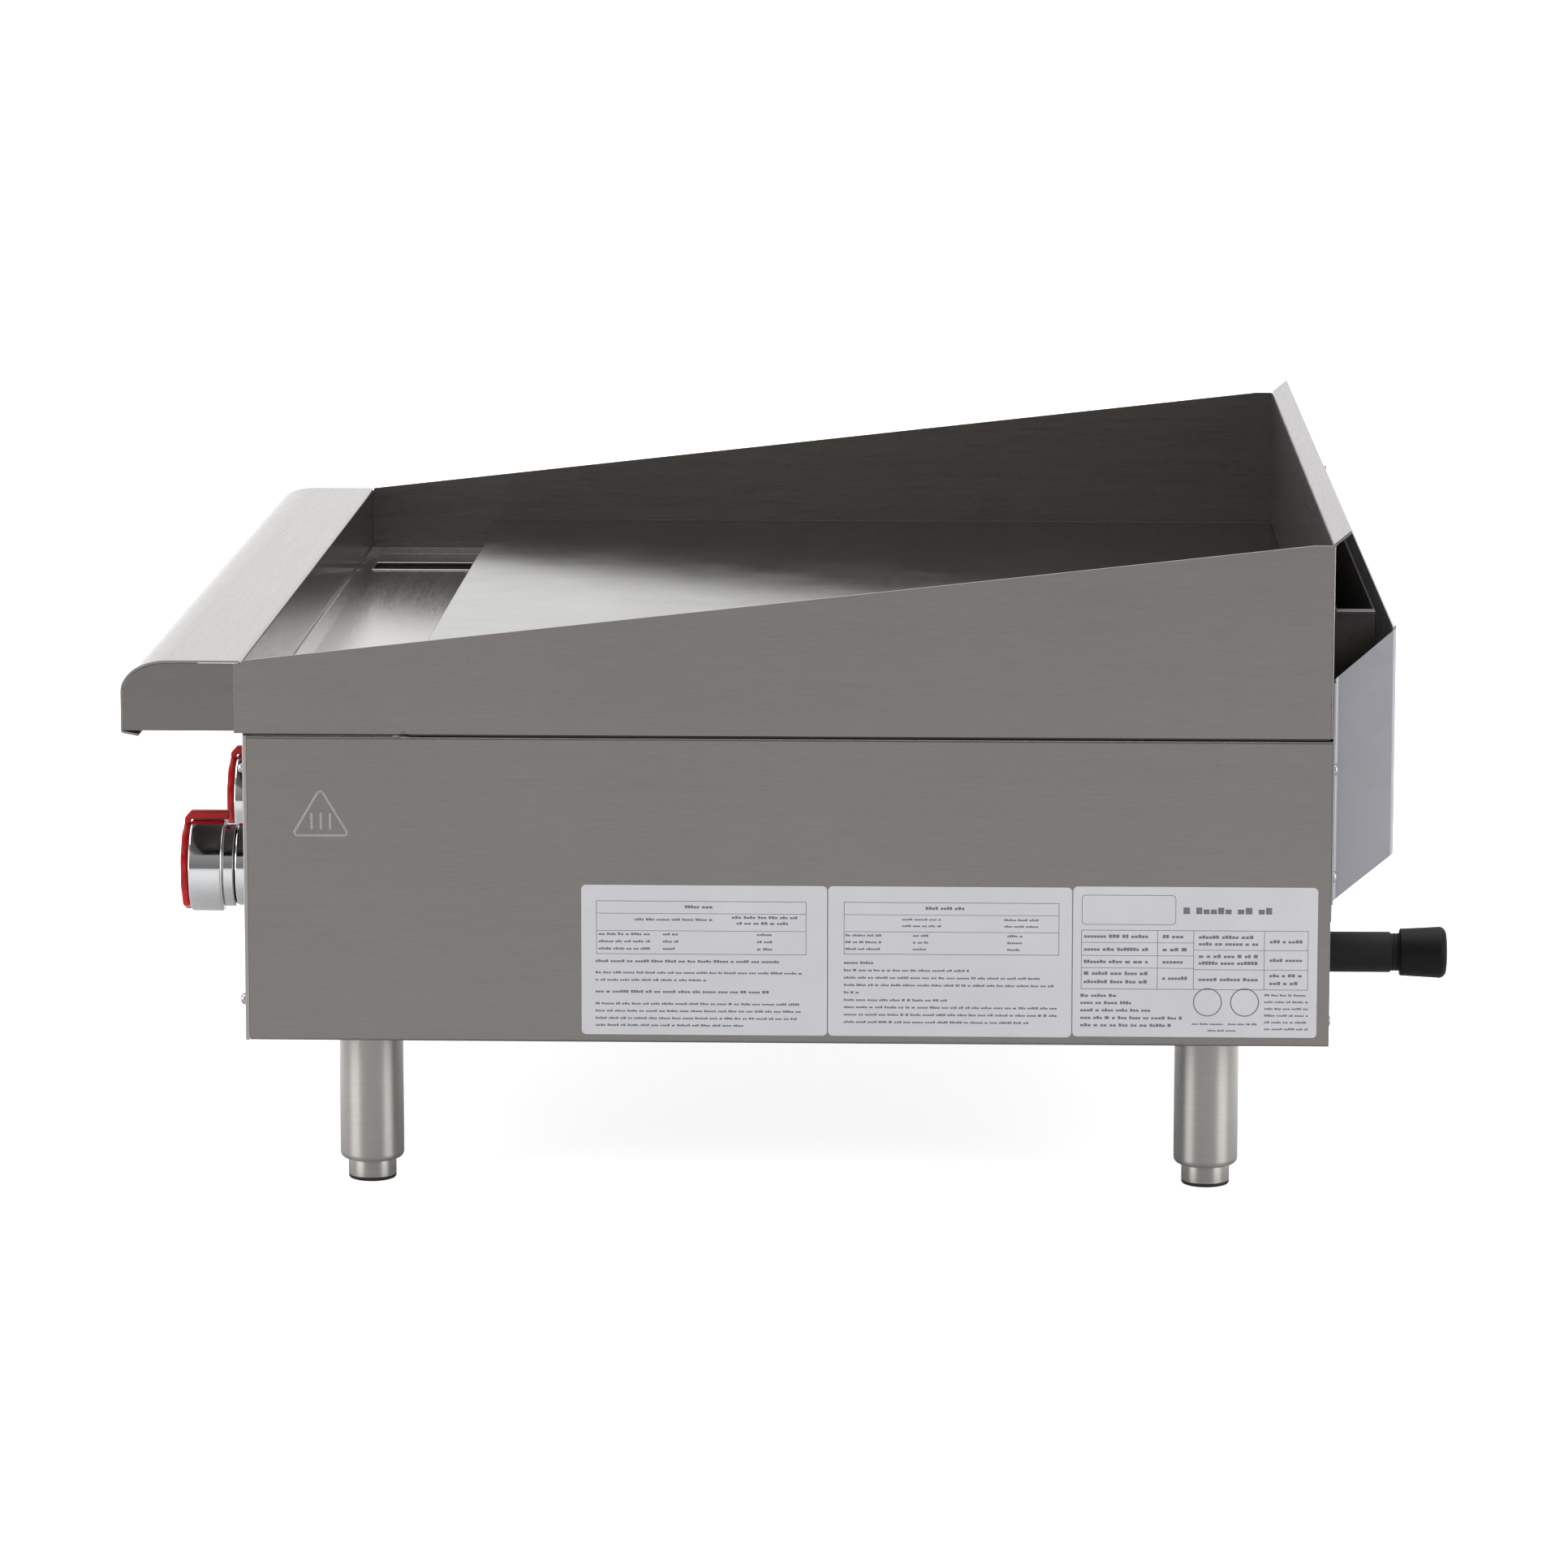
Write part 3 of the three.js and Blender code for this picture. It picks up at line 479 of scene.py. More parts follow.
def rimPiece(name, outline, width, axis, start, end, material):  # a closed rim inside an outline
    inner = movedLeft(outline + [outline[0], outline[1]], width)[1:-1]
    inner = [inner[-1]] + inner[:-1]
    count = len(outline)
    loops = [(outline, start), (outline, end), (inner, end), (inner, start)]
    corners = [toSpace(axis, a, b, along) for loop, along in loops for a, b in loop]
    faces = []
    for k in range(4):
        for i in range(count):
            j = (i + 1) % count
            low, high = k * count, (k + 1) % 4 * count
            faces.append((low + i, low + j, high + j, high + i))
    return newPiece(name, corners, faces, material)


def blocks(name, boxes, material):  # many small blocks as one piece
    corners, faces = [], []
    for xs, ys, zs in boxes:
        start = len(corners)
        corners += [(x, y, z) for x in xs for y in ys for z in zs]
        for face in ((0, 1, 3, 2), (4, 6, 7, 5), (0, 4, 5, 1), (2, 3, 7, 6), (0, 2, 6, 4), (1, 5, 7, 3)):
            faces.append(tuple(start + i for i in face))
    return newPiece(name, corners, faces, material)


def gathered(name, pieces):  # several pieces of one finish as one
    first = pieces[0]
    for piece in pieces:
        bakeShape(piece)
    with bpy.context.temp_override(active_object=first, selected_editable_objects=pieces):
        bpy.ops.object.join()
    first.name = name
    return first


def bakeShape(piece):  # its modifiers become part of its mesh
    graph = bpy.context.evaluated_depsgraph_get()
    shape = bpy.data.meshes.new_from_object(piece.evaluated_get(graph))
    piece.modifiers.clear()
    piece.data = shape
    return piece


def cutAway(piece, *cutters):
    for cutter in cutters:
        boolean = piece.modifiers.new("cut", "BOOLEAN")
        boolean.operation = "DIFFERENCE"
        boolean.solver = "EXACT"
        boolean.object = cutter
    bakeShape(piece)
    for cutter in cutters:
        bpy.data.objects.remove(cutter)
    return piece


def carriedOver(material, nodes, edge=0.25):
    for name in nodes:
        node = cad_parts[name]
        node.data.materials.clear()
        node.data.materials.append(material)
        weld = node.modifiers.new("weld", "WELD")
        weld.merge_threshold = 0.00002
        softened(node, edge)


view = {
    "from": (4.5621, 0.1212, 0.9535),
    "towards": (-0.98592, -0.03009, -0.16451),
    "roll": 0.036,
    "lens": 150.68,
}


def addCamera():
    data = bpy.data.cameras.new("camera")
    data.lens = view["lens"]
    data.sensor_width = 36
    data.clip_end = 200
    camera = bpy.data.objects.new("camera", data)
    camera.location = view["from"]
    camera.rotation_mode = "QUATERNION"
    aim = Vector(view["towards"]).to_track_quat("-Z", "Y")
    camera.rotation_quaternion = aim @ Quaternion((0, 0, 1), math.radians(view["roll"]))
    bpy.context.scene.collection.objects.link(camera)
    bpy.context.scene.camera = camera


studio = {
    "floorTone": colour(238, 238, 238),
    "floorReach": 40,
    "sunStrength": 3.2,
    "sunSpread": 70,
    "backdrop": 1.22,
    "ambient": 0.2,
    "zenith": 0.42,
    "floorGlow": 0.8,
    "cardTone": colour(188, 188, 188),
}


def flatSheet(name, near, height, tone, glow):
    mesh = bpy.data.meshes.new(name)
    reach = studio["floorReach"]
    corners = [(near, -reach), (reach, -reach), (reach, reach), (near, reach)]
    mesh.from_pydata([(x, y, height) for x, y in corners], [], [(0, 1, 2, 3)])
    fixed = {"Roughness": 0.9, "Emission_Strength": glow, "Emission_Color": (1, 1, 1, 1)}
    material, where, shader = newMaterial(name, **fixed)
    cloud = where.noise((3, 3, 3), 2.0)
    mesh.materials.append(feed(material, shader, cloud.blend(shade(tone, 0.985), tone)))
    made = bpy.data.objects.new(name, mesh)
    bpy.context.scene.collection.objects.link(made)
    return made


def addFloor():
    flatSheet("floor", -studio["floorReach"], 0, studio["floorTone"], studio["floorGlow"])
    # The card shows only as a reflection in the metal on the right side.
    card = flatSheet("grey_card", 0, 0.0002, studio["cardTone"], 0)
    card.visible_camera = card.visible_diffuse = card.visible_shadow = False


def addSky():  # a white sweep behind the work, and a dim room on the camera's side
    world = bpy.data.worlds.new("studio")
    bpy.context.scene.world = world
    world.use_nodes = True
    wire = Wire(world.node_tree)
    background = world.node_tree.nodes["Background"]
    background.inputs["Color"].default_value = (1, 1, 1, 1)
    direction = wire.node("ShaderNodeTexCoord", out=0)
    behind = (direction.split("x") * -1).between(-0.8, 0.55)
    upward = direction.split("z").between(0.15, 0.95)
    glow = behind * (studio["backdrop"] - studio["ambient"]) + studio["ambient"]
    room = glow * (1 - upward) + upward * studio["zenith"]
    seen = wire.node("ShaderNodeLightPath", out=0)
    level = room * (1 - seen) + seen
    world.node_tree.links.new(level.socket, background.inputs["Strength"])


def addLight(name, kind, strength, location, target, size=None, **settings):
    data = bpy.data.lights.new(name, kind)
    data.energy = strength
    if size:
        data.shape = "RECTANGLE"
        data.size, data.size_y = size
    for setting, value in settings.items():
        setattr(data, setting, value)
    light = bpy.data.objects.new(name, data)
    light.location = location
    light.rotation_mode = "QUATERNION"
    light.rotation_quaternion = (Vector(target) - Vector(location)).to_track_quat("-Z", "Y")
    bpy.context.scene.collection.objects.link(light)


lightBoxes = {
    "boxes": {"front box": (22, (1.6, -2.2, 0.75)), "rear box": (21, (1.5, 2.2, 0.75))},
    "target": (0, 0, 0.2),
    "size": (1.5, 1.8),
}


def addLights():
    spread = math.radians(studio["sunSpread"])
    addLight("overhead", "SUN", studio["sunStrength"], (0, 0, 4), (0.3, 0.15, 0), angle=spread)
    for name, (strength, location) in lightBoxes["boxes"].items():
        addLight(name, "AREA", strength, location, lightBoxes["target"], lightBoxes["size"])


print("studio")
addCamera()
addFloor()
addSky()
addLights()
bpy.context.scene.view_settings.view_transform = "Standard"

cabinet = {
    "sheet": 1.2,
    "flange": 15,
    "bend": 2.2,
    "edge": 0.2,
    "flangeStart": 122.4,
    "fold": 2.6,
    "foldBend": 1.4,
    "seam": 0.25,
}
sideSigns = {"right": 1, "left": -1}


def sideWall(name, side):
    (_, outside), (front, back) = span("body_side_right", "x"), span("body_side_right", "y")
    bottom, top = span("body_side_right", "z")
    inner = outside - cabinet["flange"]
    path = [(inner, bottom), (outside, bottom), (outside, top), (inner, top)]
    outline = sheetOutline(path, cabinet["sheet"], cabinet["bend"])
    start = front + cabinet["fold"] + cabinet["seam"]
    wall = pushed(f"cabinet_side_{name}", [(side * x, z) for x, z in outline], "y", start, back, sideSteel)
    clear = outside - cabinet["sheet"] - 0.01
    cutter = blocks("cutter", [(
        sorted((side * clear, side * (inner - 9))),
        (front - 9, cabinet["flangeStart"]),
        (top - cabinet["bend"] * 2, top + 9),
    )], sideSteel)
    cutAway(wall, cutter)
    finished(softened(wall, cabinet["edge"]), "griddle", "stainless", f"body_side_{name}")


def cornerFold(name, side):  # the front panel's edge, folded back over the front of the side wall
    outside, front = span("body_side_right", "x")[1], span("body_side_right", "y")[0]
    bottom, top = span("body_side_right", "z")
    path = [(outside - cabinet["sheet"] - cabinet["seam"], front), (outside, front),
            (outside, front + cabinet["fold"])]
    outline = [(side * x, y) for x, y in sheetOutline(path, cabinet["sheet"], cabinet["foldBend"])]
    # Its lighter steel is a painted highlight along the corner.
    fold = softened(pushed(f"corner_fold_{name}", outline, "z", bottom + 0.02, top - 0.02, foldHighlightSteel), 0.25)
    finished(fold, "griddle", "stainless")


print("cabinet")
for name, side in sideSigns.items():
    sideWall(name, side)
    cornerFold(name, side)
carriedOver(crossSteel, ["front_panel"], 0.4)
carriedOver(galvanised, ["rear_panel", "bottom_pan", "heat_shield", "burner_rail", "drawer_housing"])
carriedOver(troughSteel, ["grease_trough"], 0.08)
carriedOver(galvanised, ["grease_chute"])

guard = {"notch": 2.5, "notchAt": 103, "level": 12, "sheet": 1.5, "edge": 0.15, "closeUp": 0.28}


def splashGuard(name):
    node = f"splash_guard_{name}"
    front, back = span(node, "y")
    # It closes up to the ledge's end in front and to the rear splash behind.
    front, back = front - guard["closeUp"] / 2, back + guard["closeUp"]
    bottom, rearTop = span(node, "z")
    frontTop = span("front_ledge", "z")[1]
    under = frontTop - guard["sheet"] - 0.3
    notch, at = guard["notch"], guard["notchAt"]
    outline = [
        (front, bottom), (at - notch, bottom), (at, bottom + notch), (at + notch, bottom),
        (back, bottom), (back, rearTop), (back - guard["level"], rearTop),
        (0.3, frontTop), (0.3, under), (front, under),
    ]
    wall = pushed(f"side_guard_{name}", outline, "x", *span(node, "x"), sideSteel)
    finished(softened(wall, guard["edge"]), "griddle", "stainless", node)


def griddlePlate():
    node = "griddle_plate"
    xs, ys, zs = spans(node)
    xs = (xs[0] - guard["closeUp"], xs[1] + guard["closeUp"])
    back = ys[1] + guard["closeUp"]
    outline = rectangle((ys[0], back), zs)
    plate = pushed("cooking_plate", outline, "x", *xs, platedSteel)
    finished(softened(plate, 0.8, 3), "griddle", "plate_steel", node)


def rearSplash():
    xs, ys, zs = spans("rear_splash")
    face = span("body_side_right", "y")[1]
    rise = span("splash_guard_right", "z")[1]
    path = [(face, zs[0]), (face, rise), (ys[1] - 1, zs[1] - 1)]
    sheet = pushed("rear_splash_sheet", sheetOutline(path, guard["sheet"], 3.0), "x", *xs, splashSteel)
    finished(softened(sheet, 0.55, 3), "griddle", "stainless", "rear_splash")


stripSize = {"thick": 0.25, "from": 0.4, "rise": 1.25, "notchRise": 3.6, "notchHalf": 3.4}


# A thin black strip along the gap between each guard and the cabinet top. The taller block behind the guard's
# notch is painted shade, a dark piece where the notch would show the plate.
def gapSeal(name, side):
    inner = min(abs(x) for x in span(f"splash_guard_{name}", "x"))
    xs = sorted((side * (inner - stripSize["thick"]), side * (inner - 0.03)))
    bottom = span("body_side_right", "z")[1] + 0.03
    back = span(f"splash_guard_{name}", "y")[1]
    middle = guard["notchAt"]
    strips = [
        (xs, (stripSize["from"], back), (bottom, bottom + stripSize["rise"])),
        (xs, (middle - stripSize["notchHalf"], middle + stripSize["notchHalf"]),
         (bottom + 0.1, bottom + stripSize["notchRise"])),
    ]
    finished(blocks(f"dark_gap_strip_{name}", strips, rubber), "griddle", None)


ledge = {"noseRun": 30, "noseDrop": 20, "lip": 11, "lipDrop": 2.2, "skirt": 45.5, "capBack": 5, "bend": 2.4}


def ledgeLine():
    front = span("front_ledge", "y")[0]
    top, bottom = span("front_ledge", "z")[1], span("splash_guard_right", "z")[0]
    middle = (front + ledge["noseRun"], top - ledge["noseDrop"])
    nose = [(middle[0] - ledge["noseRun"] * sine, middle[1] + ledge["noseDrop"] * cosine)
            for sine, cosine in quarterTurn(18)]
    back = rounded([(0, top - ledge["skirt"]), (0, top), nose[0]], ledge["bend"])
    lip = rounded([nose[-1], (front, bottom), (front + ledge["lip"], bottom - ledge["lipDrop"])], 1.8)
    return back[:-1] + nose[:-1] + lip


def frontLedge():
    line = ledgeLine()
    outline = line + movedLeft(line, guard["sheet"])[::-1]
    sheet = pushed("ledge_sheet", outline, "x", *span("front_ledge", "x"), crossSteel)
    half = span("front_ledge", "x")[1]
    inside = half - guard["sheet"] - 0.3
    top, bottom = span("front_ledge", "z")[1], span("splash_guard_right", "z")[0]
    cutters = [
        blocks("cutter", [(sorted((side * inside, side * (half + 9))), (-ledge["capBack"] - 0.3, 9),
                           (bottom - 9, top - guard["sheet"] - 0.02))], crossSteel)
        for side in sideSigns.values()
    ]
    cutAway(sheet, *cutters)
    sheet.data.materials.append(undersideShadeSteel)
    inward = place(0, -20, 0).y
    for face in sheet.data.polygons:  # the sheet is polished on its outer side only; faces turned down or inward get rougher steel with a darker tone, which is painted shade
        if face.normal.z < -0.2 or (face.normal.y > 0.5 and face.center.y < inward):
            face.material_index = 1
    finished(softened(sheet, 0.4), "griddle", "stainless", "front_ledge")


def ledgeCap(name):
    node = f"ledge_cap_{name}"
    inward = guard["sheet"] + 0.3
    front, back = span(node, "y")
    back += guard["closeUp"] / 2
    bottom, top = span(node, "z")
    line = movedLeft(ledgeLine(), inward)
    nose = [point for point in line if point[0] < back - 3 and point[1] > bottom + 3]
    outline = [(back, bottom), (back, top), *nose, (front, bottom)]
    cap = pushed(f"ledge_end_{name}", outline, "x", *span(node, "x"), capSteel)
    finished(softened(cap, 0.4), "griddle", "stainless", node)


drain = {"width": 38, "front": 8, "back": 88, "rim": 1.6, "rise": 0.7}


def drainRim():
    middle = sum(span("drawer_front", "x")) / 2
    half = drain["width"] / 2 + drain["rim"]
    front, back = drain["front"] - drain["rim"], drain["back"] + drain["rim"]
    floor = span("grease_trough", "z")[0] + guard["sheet"]
    outline = rectangle((middle - half, middle + half), (front, back))
    # The rim's lighter steel is a painted highlight along the slot's edge.
    rim = rimPiece("drain_rim", closedRound(outline, 2.2, 5), drain["rim"], "z", floor - 0.05,
                   floor + drain["rise"], pressedHighlightSteel)
    finished(softened(rim, 0.4, 3), "griddle", "stainless")


print("cooking top")
for name, side in sideSigns.items():
    splashGuard(name)
    gapSeal(name, side)
    ledgeCap(name)
griddlePlate()
rearSplash()
frontLedge()
drainRim()

flue = {
    "sheet": 1.2,
    "bend": 2.6,
    "edge": 0.25,
    "foot": 13,
    "slope": 31,
    "lap": 12,
    "frontRise": 141.2,
    "fold": 1.2,
    "folds": (0.1, 7.4),
}


def flueBack():
    xs, ys, zs = spans("flue_back_panel")
    back = ys[1] - flue["sheet"] - 0.02
    foot = zs[0] + flue["foot"]
    front = ys[0] + flue["sheet"]
    path = [(front, zs[0]), (front, foot), (back, foot + flue["slope"]), (back, zs[1])]
    inside = (xs[0] + flue["sheet"], xs[1] - flue["sheet"])
    outline = sheetOutline(path, flue["sheet"], flue["bend"])
    sheet = pushed("flue_back_sheet", outline, "x", *inside, flueSteel)
    finished(softened(sheet, flue["edge"]), "griddle", "flue_steel", "flue_back_panel")


def flueEnd(name, side):
    node = f"flue_end_{name}"
    skin = max(span("flue_back_panel", "x"))
    wing = max(abs(x) for x in span(node, "x"))
    front = span(node, "y")[0]
    (_, back), (bottom, top) = span("flue_back_panel", "y"), span("flue_back_panel", "z")
    foot = bottom + flue["foot"]
    path = [(wing, front + flue["sheet"]), (skin, front + flue["sheet"]), (skin, back),
            (skin - flue["lap"], back)]
    outline = [(side * x, y) for x, y in sheetOutline(path, flue["sheet"], flue["bend"])]
    sheet = pushed(f"flue_end_sheet_{name}", outline, "z", foot, top, flueSteel)
    slope = flue["slope"] / (back - front - flue["sheet"])
    lipTop = span(node, "z")[0] + flue["frontRise"]
    low = [(front - 9, foot - 9), (back + 9, foot - 9), (back + 9, foot + slope * (back + 9 - front)),
           (front + flue["sheet"], foot + 0.6), (front - 9, foot + 0.6)]
    rise = (top - lipTop) / (back - front - flue["sheet"] * 2)
    high = [(front - 9, lipTop - rise * 9), (back, top), (back, top + 9), (front - 9, top + 9)]
    spanX = sorted((side * (skin - flue["lap"] - 9), side * (wing + 9)))
    cutAway(sheet, *(pushed("cutter", line, "x", *spanX, flueSteel) for line in (low, high)))
    finished(softened(sheet, flue["edge"]), "griddle", "flue_steel", node)


def ductRim(name, side):  # two bright folds across the mouth of the duct, one at its end and one further in
    end = abs(span("flue_riser", "x")[0])
    front, back = span("flue_riser", "y")
    top = span("flue_riser", "z")[1]
    folds = [
        (sorted((side * (end - offset), side * (end - offset - flue["fold"]))), (front + 0.4, back - 0.4),
         (top - 0.05, top + 0.35))
        for offset in flue["folds"]
    ]
    finished(softened(blocks(f"duct_rim_{name}", folds, flueSteel), 0.12), "griddle", "flue_steel")


print("flue")
flueBack()
for name, side in sideSigns.items():
    flueEnd(name, side)
# The riser's near-black finish is painted shade.
carriedOver(ductShadeSheet, ["flue_riser"], 0.1)
for name, side in sideSigns.items():
    ductRim(name, side)

knob = {
    "front": 55.1,
    "step": 32.6,
    "neck": 25.1,
    "socket": 46,
    "wall": 2.2,
    "neckRadius": 27.7,
    "lobes": 10,
    "scallop": 1.4,
}
bezelRing = {"front": 24.5, "mouth": 26.6, "foot": 29, "bore": 17}
dial = {"values": (200, 250, 300, 350, 400, 450), "size": 4.6, "radius": 20.5, "sweep": 250}


def knobBarrel(number, centre, radius):
    front, step, neck = knob["front"], knob["step"], knob["neck"]
    neckRadius = knob["neckRadius"]
    inside = neckRadius - knob["wall"]
    profile = [
        (0, -front), (radius - 1.4, -front), (radius - 0.4, -front + 0.4), (radius, -front + 1.4),
        (radius, -step - 1.6), (radius - 0.35, -step - 1.1), (radius - 0.35, -step - 0.7),
        (radius, -step - 0.3),
        (radius - 0.4, -step), (neckRadius + 0.5, -step + 0.25), (neckRadius, -step + 0.8),
        (neckRadius, -neck - 0.7), (neckRadius - 0.6, -neck), (inside, -neck), (inside, -front + 4.5),
        (9, -front + 4.5), (9, -12), (5.3, -12), (5.3, -knob["socket"]), (0, -knob["socket"]),
    ]
    barrel = turned(f"control_barrel_{number}", profile, "y", centre, chrome, 128)
    finished(softened(barrel, 0.15, 2, 40), f"control_{number}", "chrome", f"knob_{number}")


def knobGrip(number, centre, radius):
    node = f"knob_grip_{number}"
    x, _, z = centre
    front, back = span(node, "y")
    top = span(node, "z")[1]
    faceRadius = radius - 1.2
    steps = knob["lobes"] * 16
    outline = []
    for i in range(steps):
        angle = 2 * math.pi * i / steps + math.pi / 2
        reach = faceRadius - knob["scallop"] * (1 - math.cos(2 * math.pi * i / 16)) / 2
        outline.append((x + reach * math.cos(angle), z + reach * math.sin(angle)))
    discBack = -knob["front"] - 0.3
    disc = softened(pushed("disc", outline, "y", front, discBack, redPlastic), 1.5, 4)
    clear = z + radius + 0.3
    side = [
        (back, clear), (back, top), (front + 4.5, top), (front + 0.4, top - 4.6),
        (front + 0.4, z + faceRadius / 2), (discBack - 0.5, z + faceRadius / 2), (discBack - 0.5, clear),
    ]
    bar = softened(pushed("bar", side, "x", x - 4, x + 4, redPlastic), 0.9, 3)
    grip = gathered(f"control_grip_{number}", [disc, bar])
    finished(grip, f"control_{number}", "red_plastic", node)


def dialMarks(number, centre):  # plain temperatures printed on the grip's face
    face = span(f"knob_grip_{number}", "y")[0]
    pieces = []
    count = len(dial["values"])
    for i, value in enumerate(dial["values"]):
        angle = math.radians(90 - dial["sweep"] / 2 + dial["sweep"] * i / (count - 1) + 180)
        text = bpy.data.curves.new("mark", "FONT")
        text.body = str(value)
        text.size = dial["size"] / 1000
        text.align_x, text.align_y = "CENTER", "CENTER"
        text.extrude = 0.00006
        mark = bpy.data.objects.new("mark", text)
        bpy.context.scene.collection.objects.link(mark)
        out = Vector((math.cos(angle), math.sin(angle)))
        middle = place(centre[0] + out.x * dial["radius"], face - 0.02, centre[2] + out.y * dial["radius"])
        turn = Matrix.Rotation(math.pi / 2, 4, "X")
        spin = Matrix.Rotation(angle - math.pi / 2, 4, "Z")
        mark.matrix_world = Matrix.Translation(middle) @ turn @ spin
        bpy.context.view_layer.update()
        shape = bpy.data.meshes.new_from_object(mark.evaluated_get(bpy.context.evaluated_depsgraph_get()))
        shape.transform(mark.matrix_world)
        bpy.data.objects.remove(mark)
        shape.materials.clear()
        shape.materials.append(dialWhite)
        piece = bpy.data.objects.new("mark", shape)
        bpy.context.scene.collection.objects.link(piece)
        pieces.append(piece)
    marks = gathered(f"dial_marks_{number}", pieces)
    finished(marks, f"control_{number}", None)


def knobBezel(number, centre):
    front, mouth, foot, bore = (bezelRing[key] for key in ("front", "mouth", "foot", "bore"))
    profile = [
        (bore, -0.3), (foot - 0.3, -0.3), (foot, -0.8), (foot, -3.2), (foot - 0.8, -4.2), (mouth + 0.9, -8),
        (mouth + 0.4, -front + 1.5), (mouth, -front + 0.4), (mouth - 0.8, -front), (mouth - 2.2, -front),
        (mouth - 2.6, -front + 0.6), (mouth - 2.8, -6), (bore, -5),
    ]
    ring = turned(f"control_bezel_{number}", profile, "y", centre, chrome, 128)
    finished(softened(ring, 0.15, 2, 40), "griddle", "chrome")
    x, _, z = centre
    edge = mouth + 0.3
    side = [(-front + 0.6, z + edge), (-front + 0.6, z + edge + 1.2), (-9, z + edge + 2.1), (-9, z + edge)]
    mark = softened(pushed(f"index_mark_{number}", side, "x", x - 1.3, x + 1.3, redPlastic), 0.25)
    finished(mark, "griddle", "red_plastic")


print("controls")
for number in (1, 2, 3):
    (left, right), (bottom, top) = span(f"knob_{number}", "x"), span(f"knob_{number}", "z")
    centre = ((left + right) / 2, 0, (bottom + top) / 2)
    radius = (top - bottom) / 2
    knobBarrel(number, centre, radius)
    knobGrip(number, centre, radius)
    dialMarks(number, centre)
    knobBezel(number, centre)
    carriedOver(brass, [f"control_stem_{number}", f"orifice_{number}"], 0.2)
    carriedOver(castMetal, [f"thermostat_{number}", f"pilot_{number}"], 0.4)
    carriedOver(galvanised, [f"air_shutter_{number}"], 0.2)
    carriedOver(firedSteel, [f"burner_{number}"], 0.3)

pipe = {"shoulder": 738, "thread": 12.635, "pitch": 2.2, "depth": 0.55, "bore": 10.45, "capRound": 5}


def gasPipe():
    (left, right), (front, back) = span("gas_inlet_pipe", "x"), span("gas_inlet_pipe", "y")
    bottom, top = span("gas_inlet_pipe", "z")
    centre = ((left + right) / 2, 0, (bottom + top) / 2)
    radius = (right - left) / 2
    shoulder, pitch = pipe["shoulder"], pipe["pitch"]
    profile = [(pipe["bore"], front), (radius - 0.5, front), (radius, front + 0.5), (radius, shoulder - 0.6),
               (radius - 0.3, shoulder), (pipe["thread"] - pipe["depth"], shoulder + 0.7)]
    steps = int((back - shoulder - 2) / (pitch / 6))
    starts = len(profile)
    profile += [(pipe["thread"] - pipe["depth"], shoulder + 1 + i * pitch / 6) for i in range(steps)]
    profile += [(pipe["bore"] + 0.6, back), (pipe["bore"], back - 0.6)]

    def thread(angle, step):
        if not starts <= step < starts + steps:
            return 0
        turn = ((step - starts) / 6 - angle / (2 * math.pi)) % 1
        return pipe["depth"] * (1 - abs(2 * turn - 1))

    tube = turned("inlet_pipe", profile, "y", centre, blackPipe, 72, thread)
    finished(tube, "griddle", "black_pipe", "gas_inlet_pipe")


def dustCap():
    (left, right), (front, back) = span("gas_cap", "x"), span("gas_cap", "y")
    bottom, top = span("gas_cap", "z")
    centre = ((left + right) / 2, 0, (bottom + top) / 2)
    outside = (right - left) / 2
    inside = pipe["thread"] + 0.4
    endRound = pipe["capRound"]
    arc = [(outside - endRound + endRound * sine, back - endRound + endRound * cosine)
           for sine, cosine in quarterTurn(8)]
    profile = [
        (0, back), *arc, (outside - 0.15, back - endRound - 0.6),
        (inside + 2.4, front + 0.5), (inside + 1.9, front), (inside, front), (inside, back - 3.2),
        (0, back - 3.2),
    ]
    cap = turned("pipe_cap", profile, "y", centre, blackPlastic, 96)
    finished(softened(cap, 0.2, 2, 40), "cap", "black_plastic", "gas_cap")


print("gas line")
gasPipe()
dustCap()
carriedOver(blackPipe, ["gas_manifold"], 1.0)

drawerHandle = {"radius": 4.5, "corner": 14, "flange": 8}


def handleBar():
    (left, right), (front, back) = span("drawer_handle", "x"), span("drawer_handle", "y")
    bottom, top = span("drawer_handle", "z")
    radius, corner, flange = (drawerHandle[key] for key in ("radius", "corner", "flange"))
    middle = (bottom + top) / 2
    corners = [(left + radius, back), (left + radius, front + radius), (right - radius, front + radius),
               (right - radius, back)]
    path = [(x, y, middle) for x, y in rounded(corners, corner, 12)]
    bar = swept("bar", path, radius, chrome, 32)
    feet = []
    for x in (left + radius, right - radius):
        profile = [(0, back), (flange, back), (flange, back - 0.8), (flange - 1, back - 1.6),
                   (radius - 0.2, back - 1.9), (0, back - 1.9)]
        feet.append(turned("foot", profile, "y", (x, 0, middle), chrome, 48))
    handle = gathered("drawer_pull", [bar, *feet])
    finished(handle, "drawer", "chrome", "drawer_handle")


drawerFace = {"sheet": 1.2, "corner": 1.6}


def drawerFront():
    xs, ys, zs = spans("drawer_front")
    outline = closedRound(rectangle(xs, zs), drawerFace["corner"])
    face = pushed("drawer_face", outline, "y", *ys, crossSteel)
    sheet = drawerFace["sheet"]
    hollow = ((xs[0] + sheet, xs[1] - sheet), (ys[0] + sheet, ys[1] + 9), (zs[0] + sheet, zs[1] - sheet))
    cutAway(face, blocks("cutter", [hollow], crossSteel))
    finished(softened(face, 0.6, 3), "drawer", "stainless", "drawer_front")


print("drawer")
handleBar()
drawerFront()
carriedOver(sideSteel, ["drawer_tray"], 0.3)

legShape = {"bore": 16, "round": 4.2, "wall": 1.5, "nutTop": -36, "nutBottom": -44, "nutBore": 6.4}
footShape = {"stem": 6, "depth": 38, "rubber": 2.4}


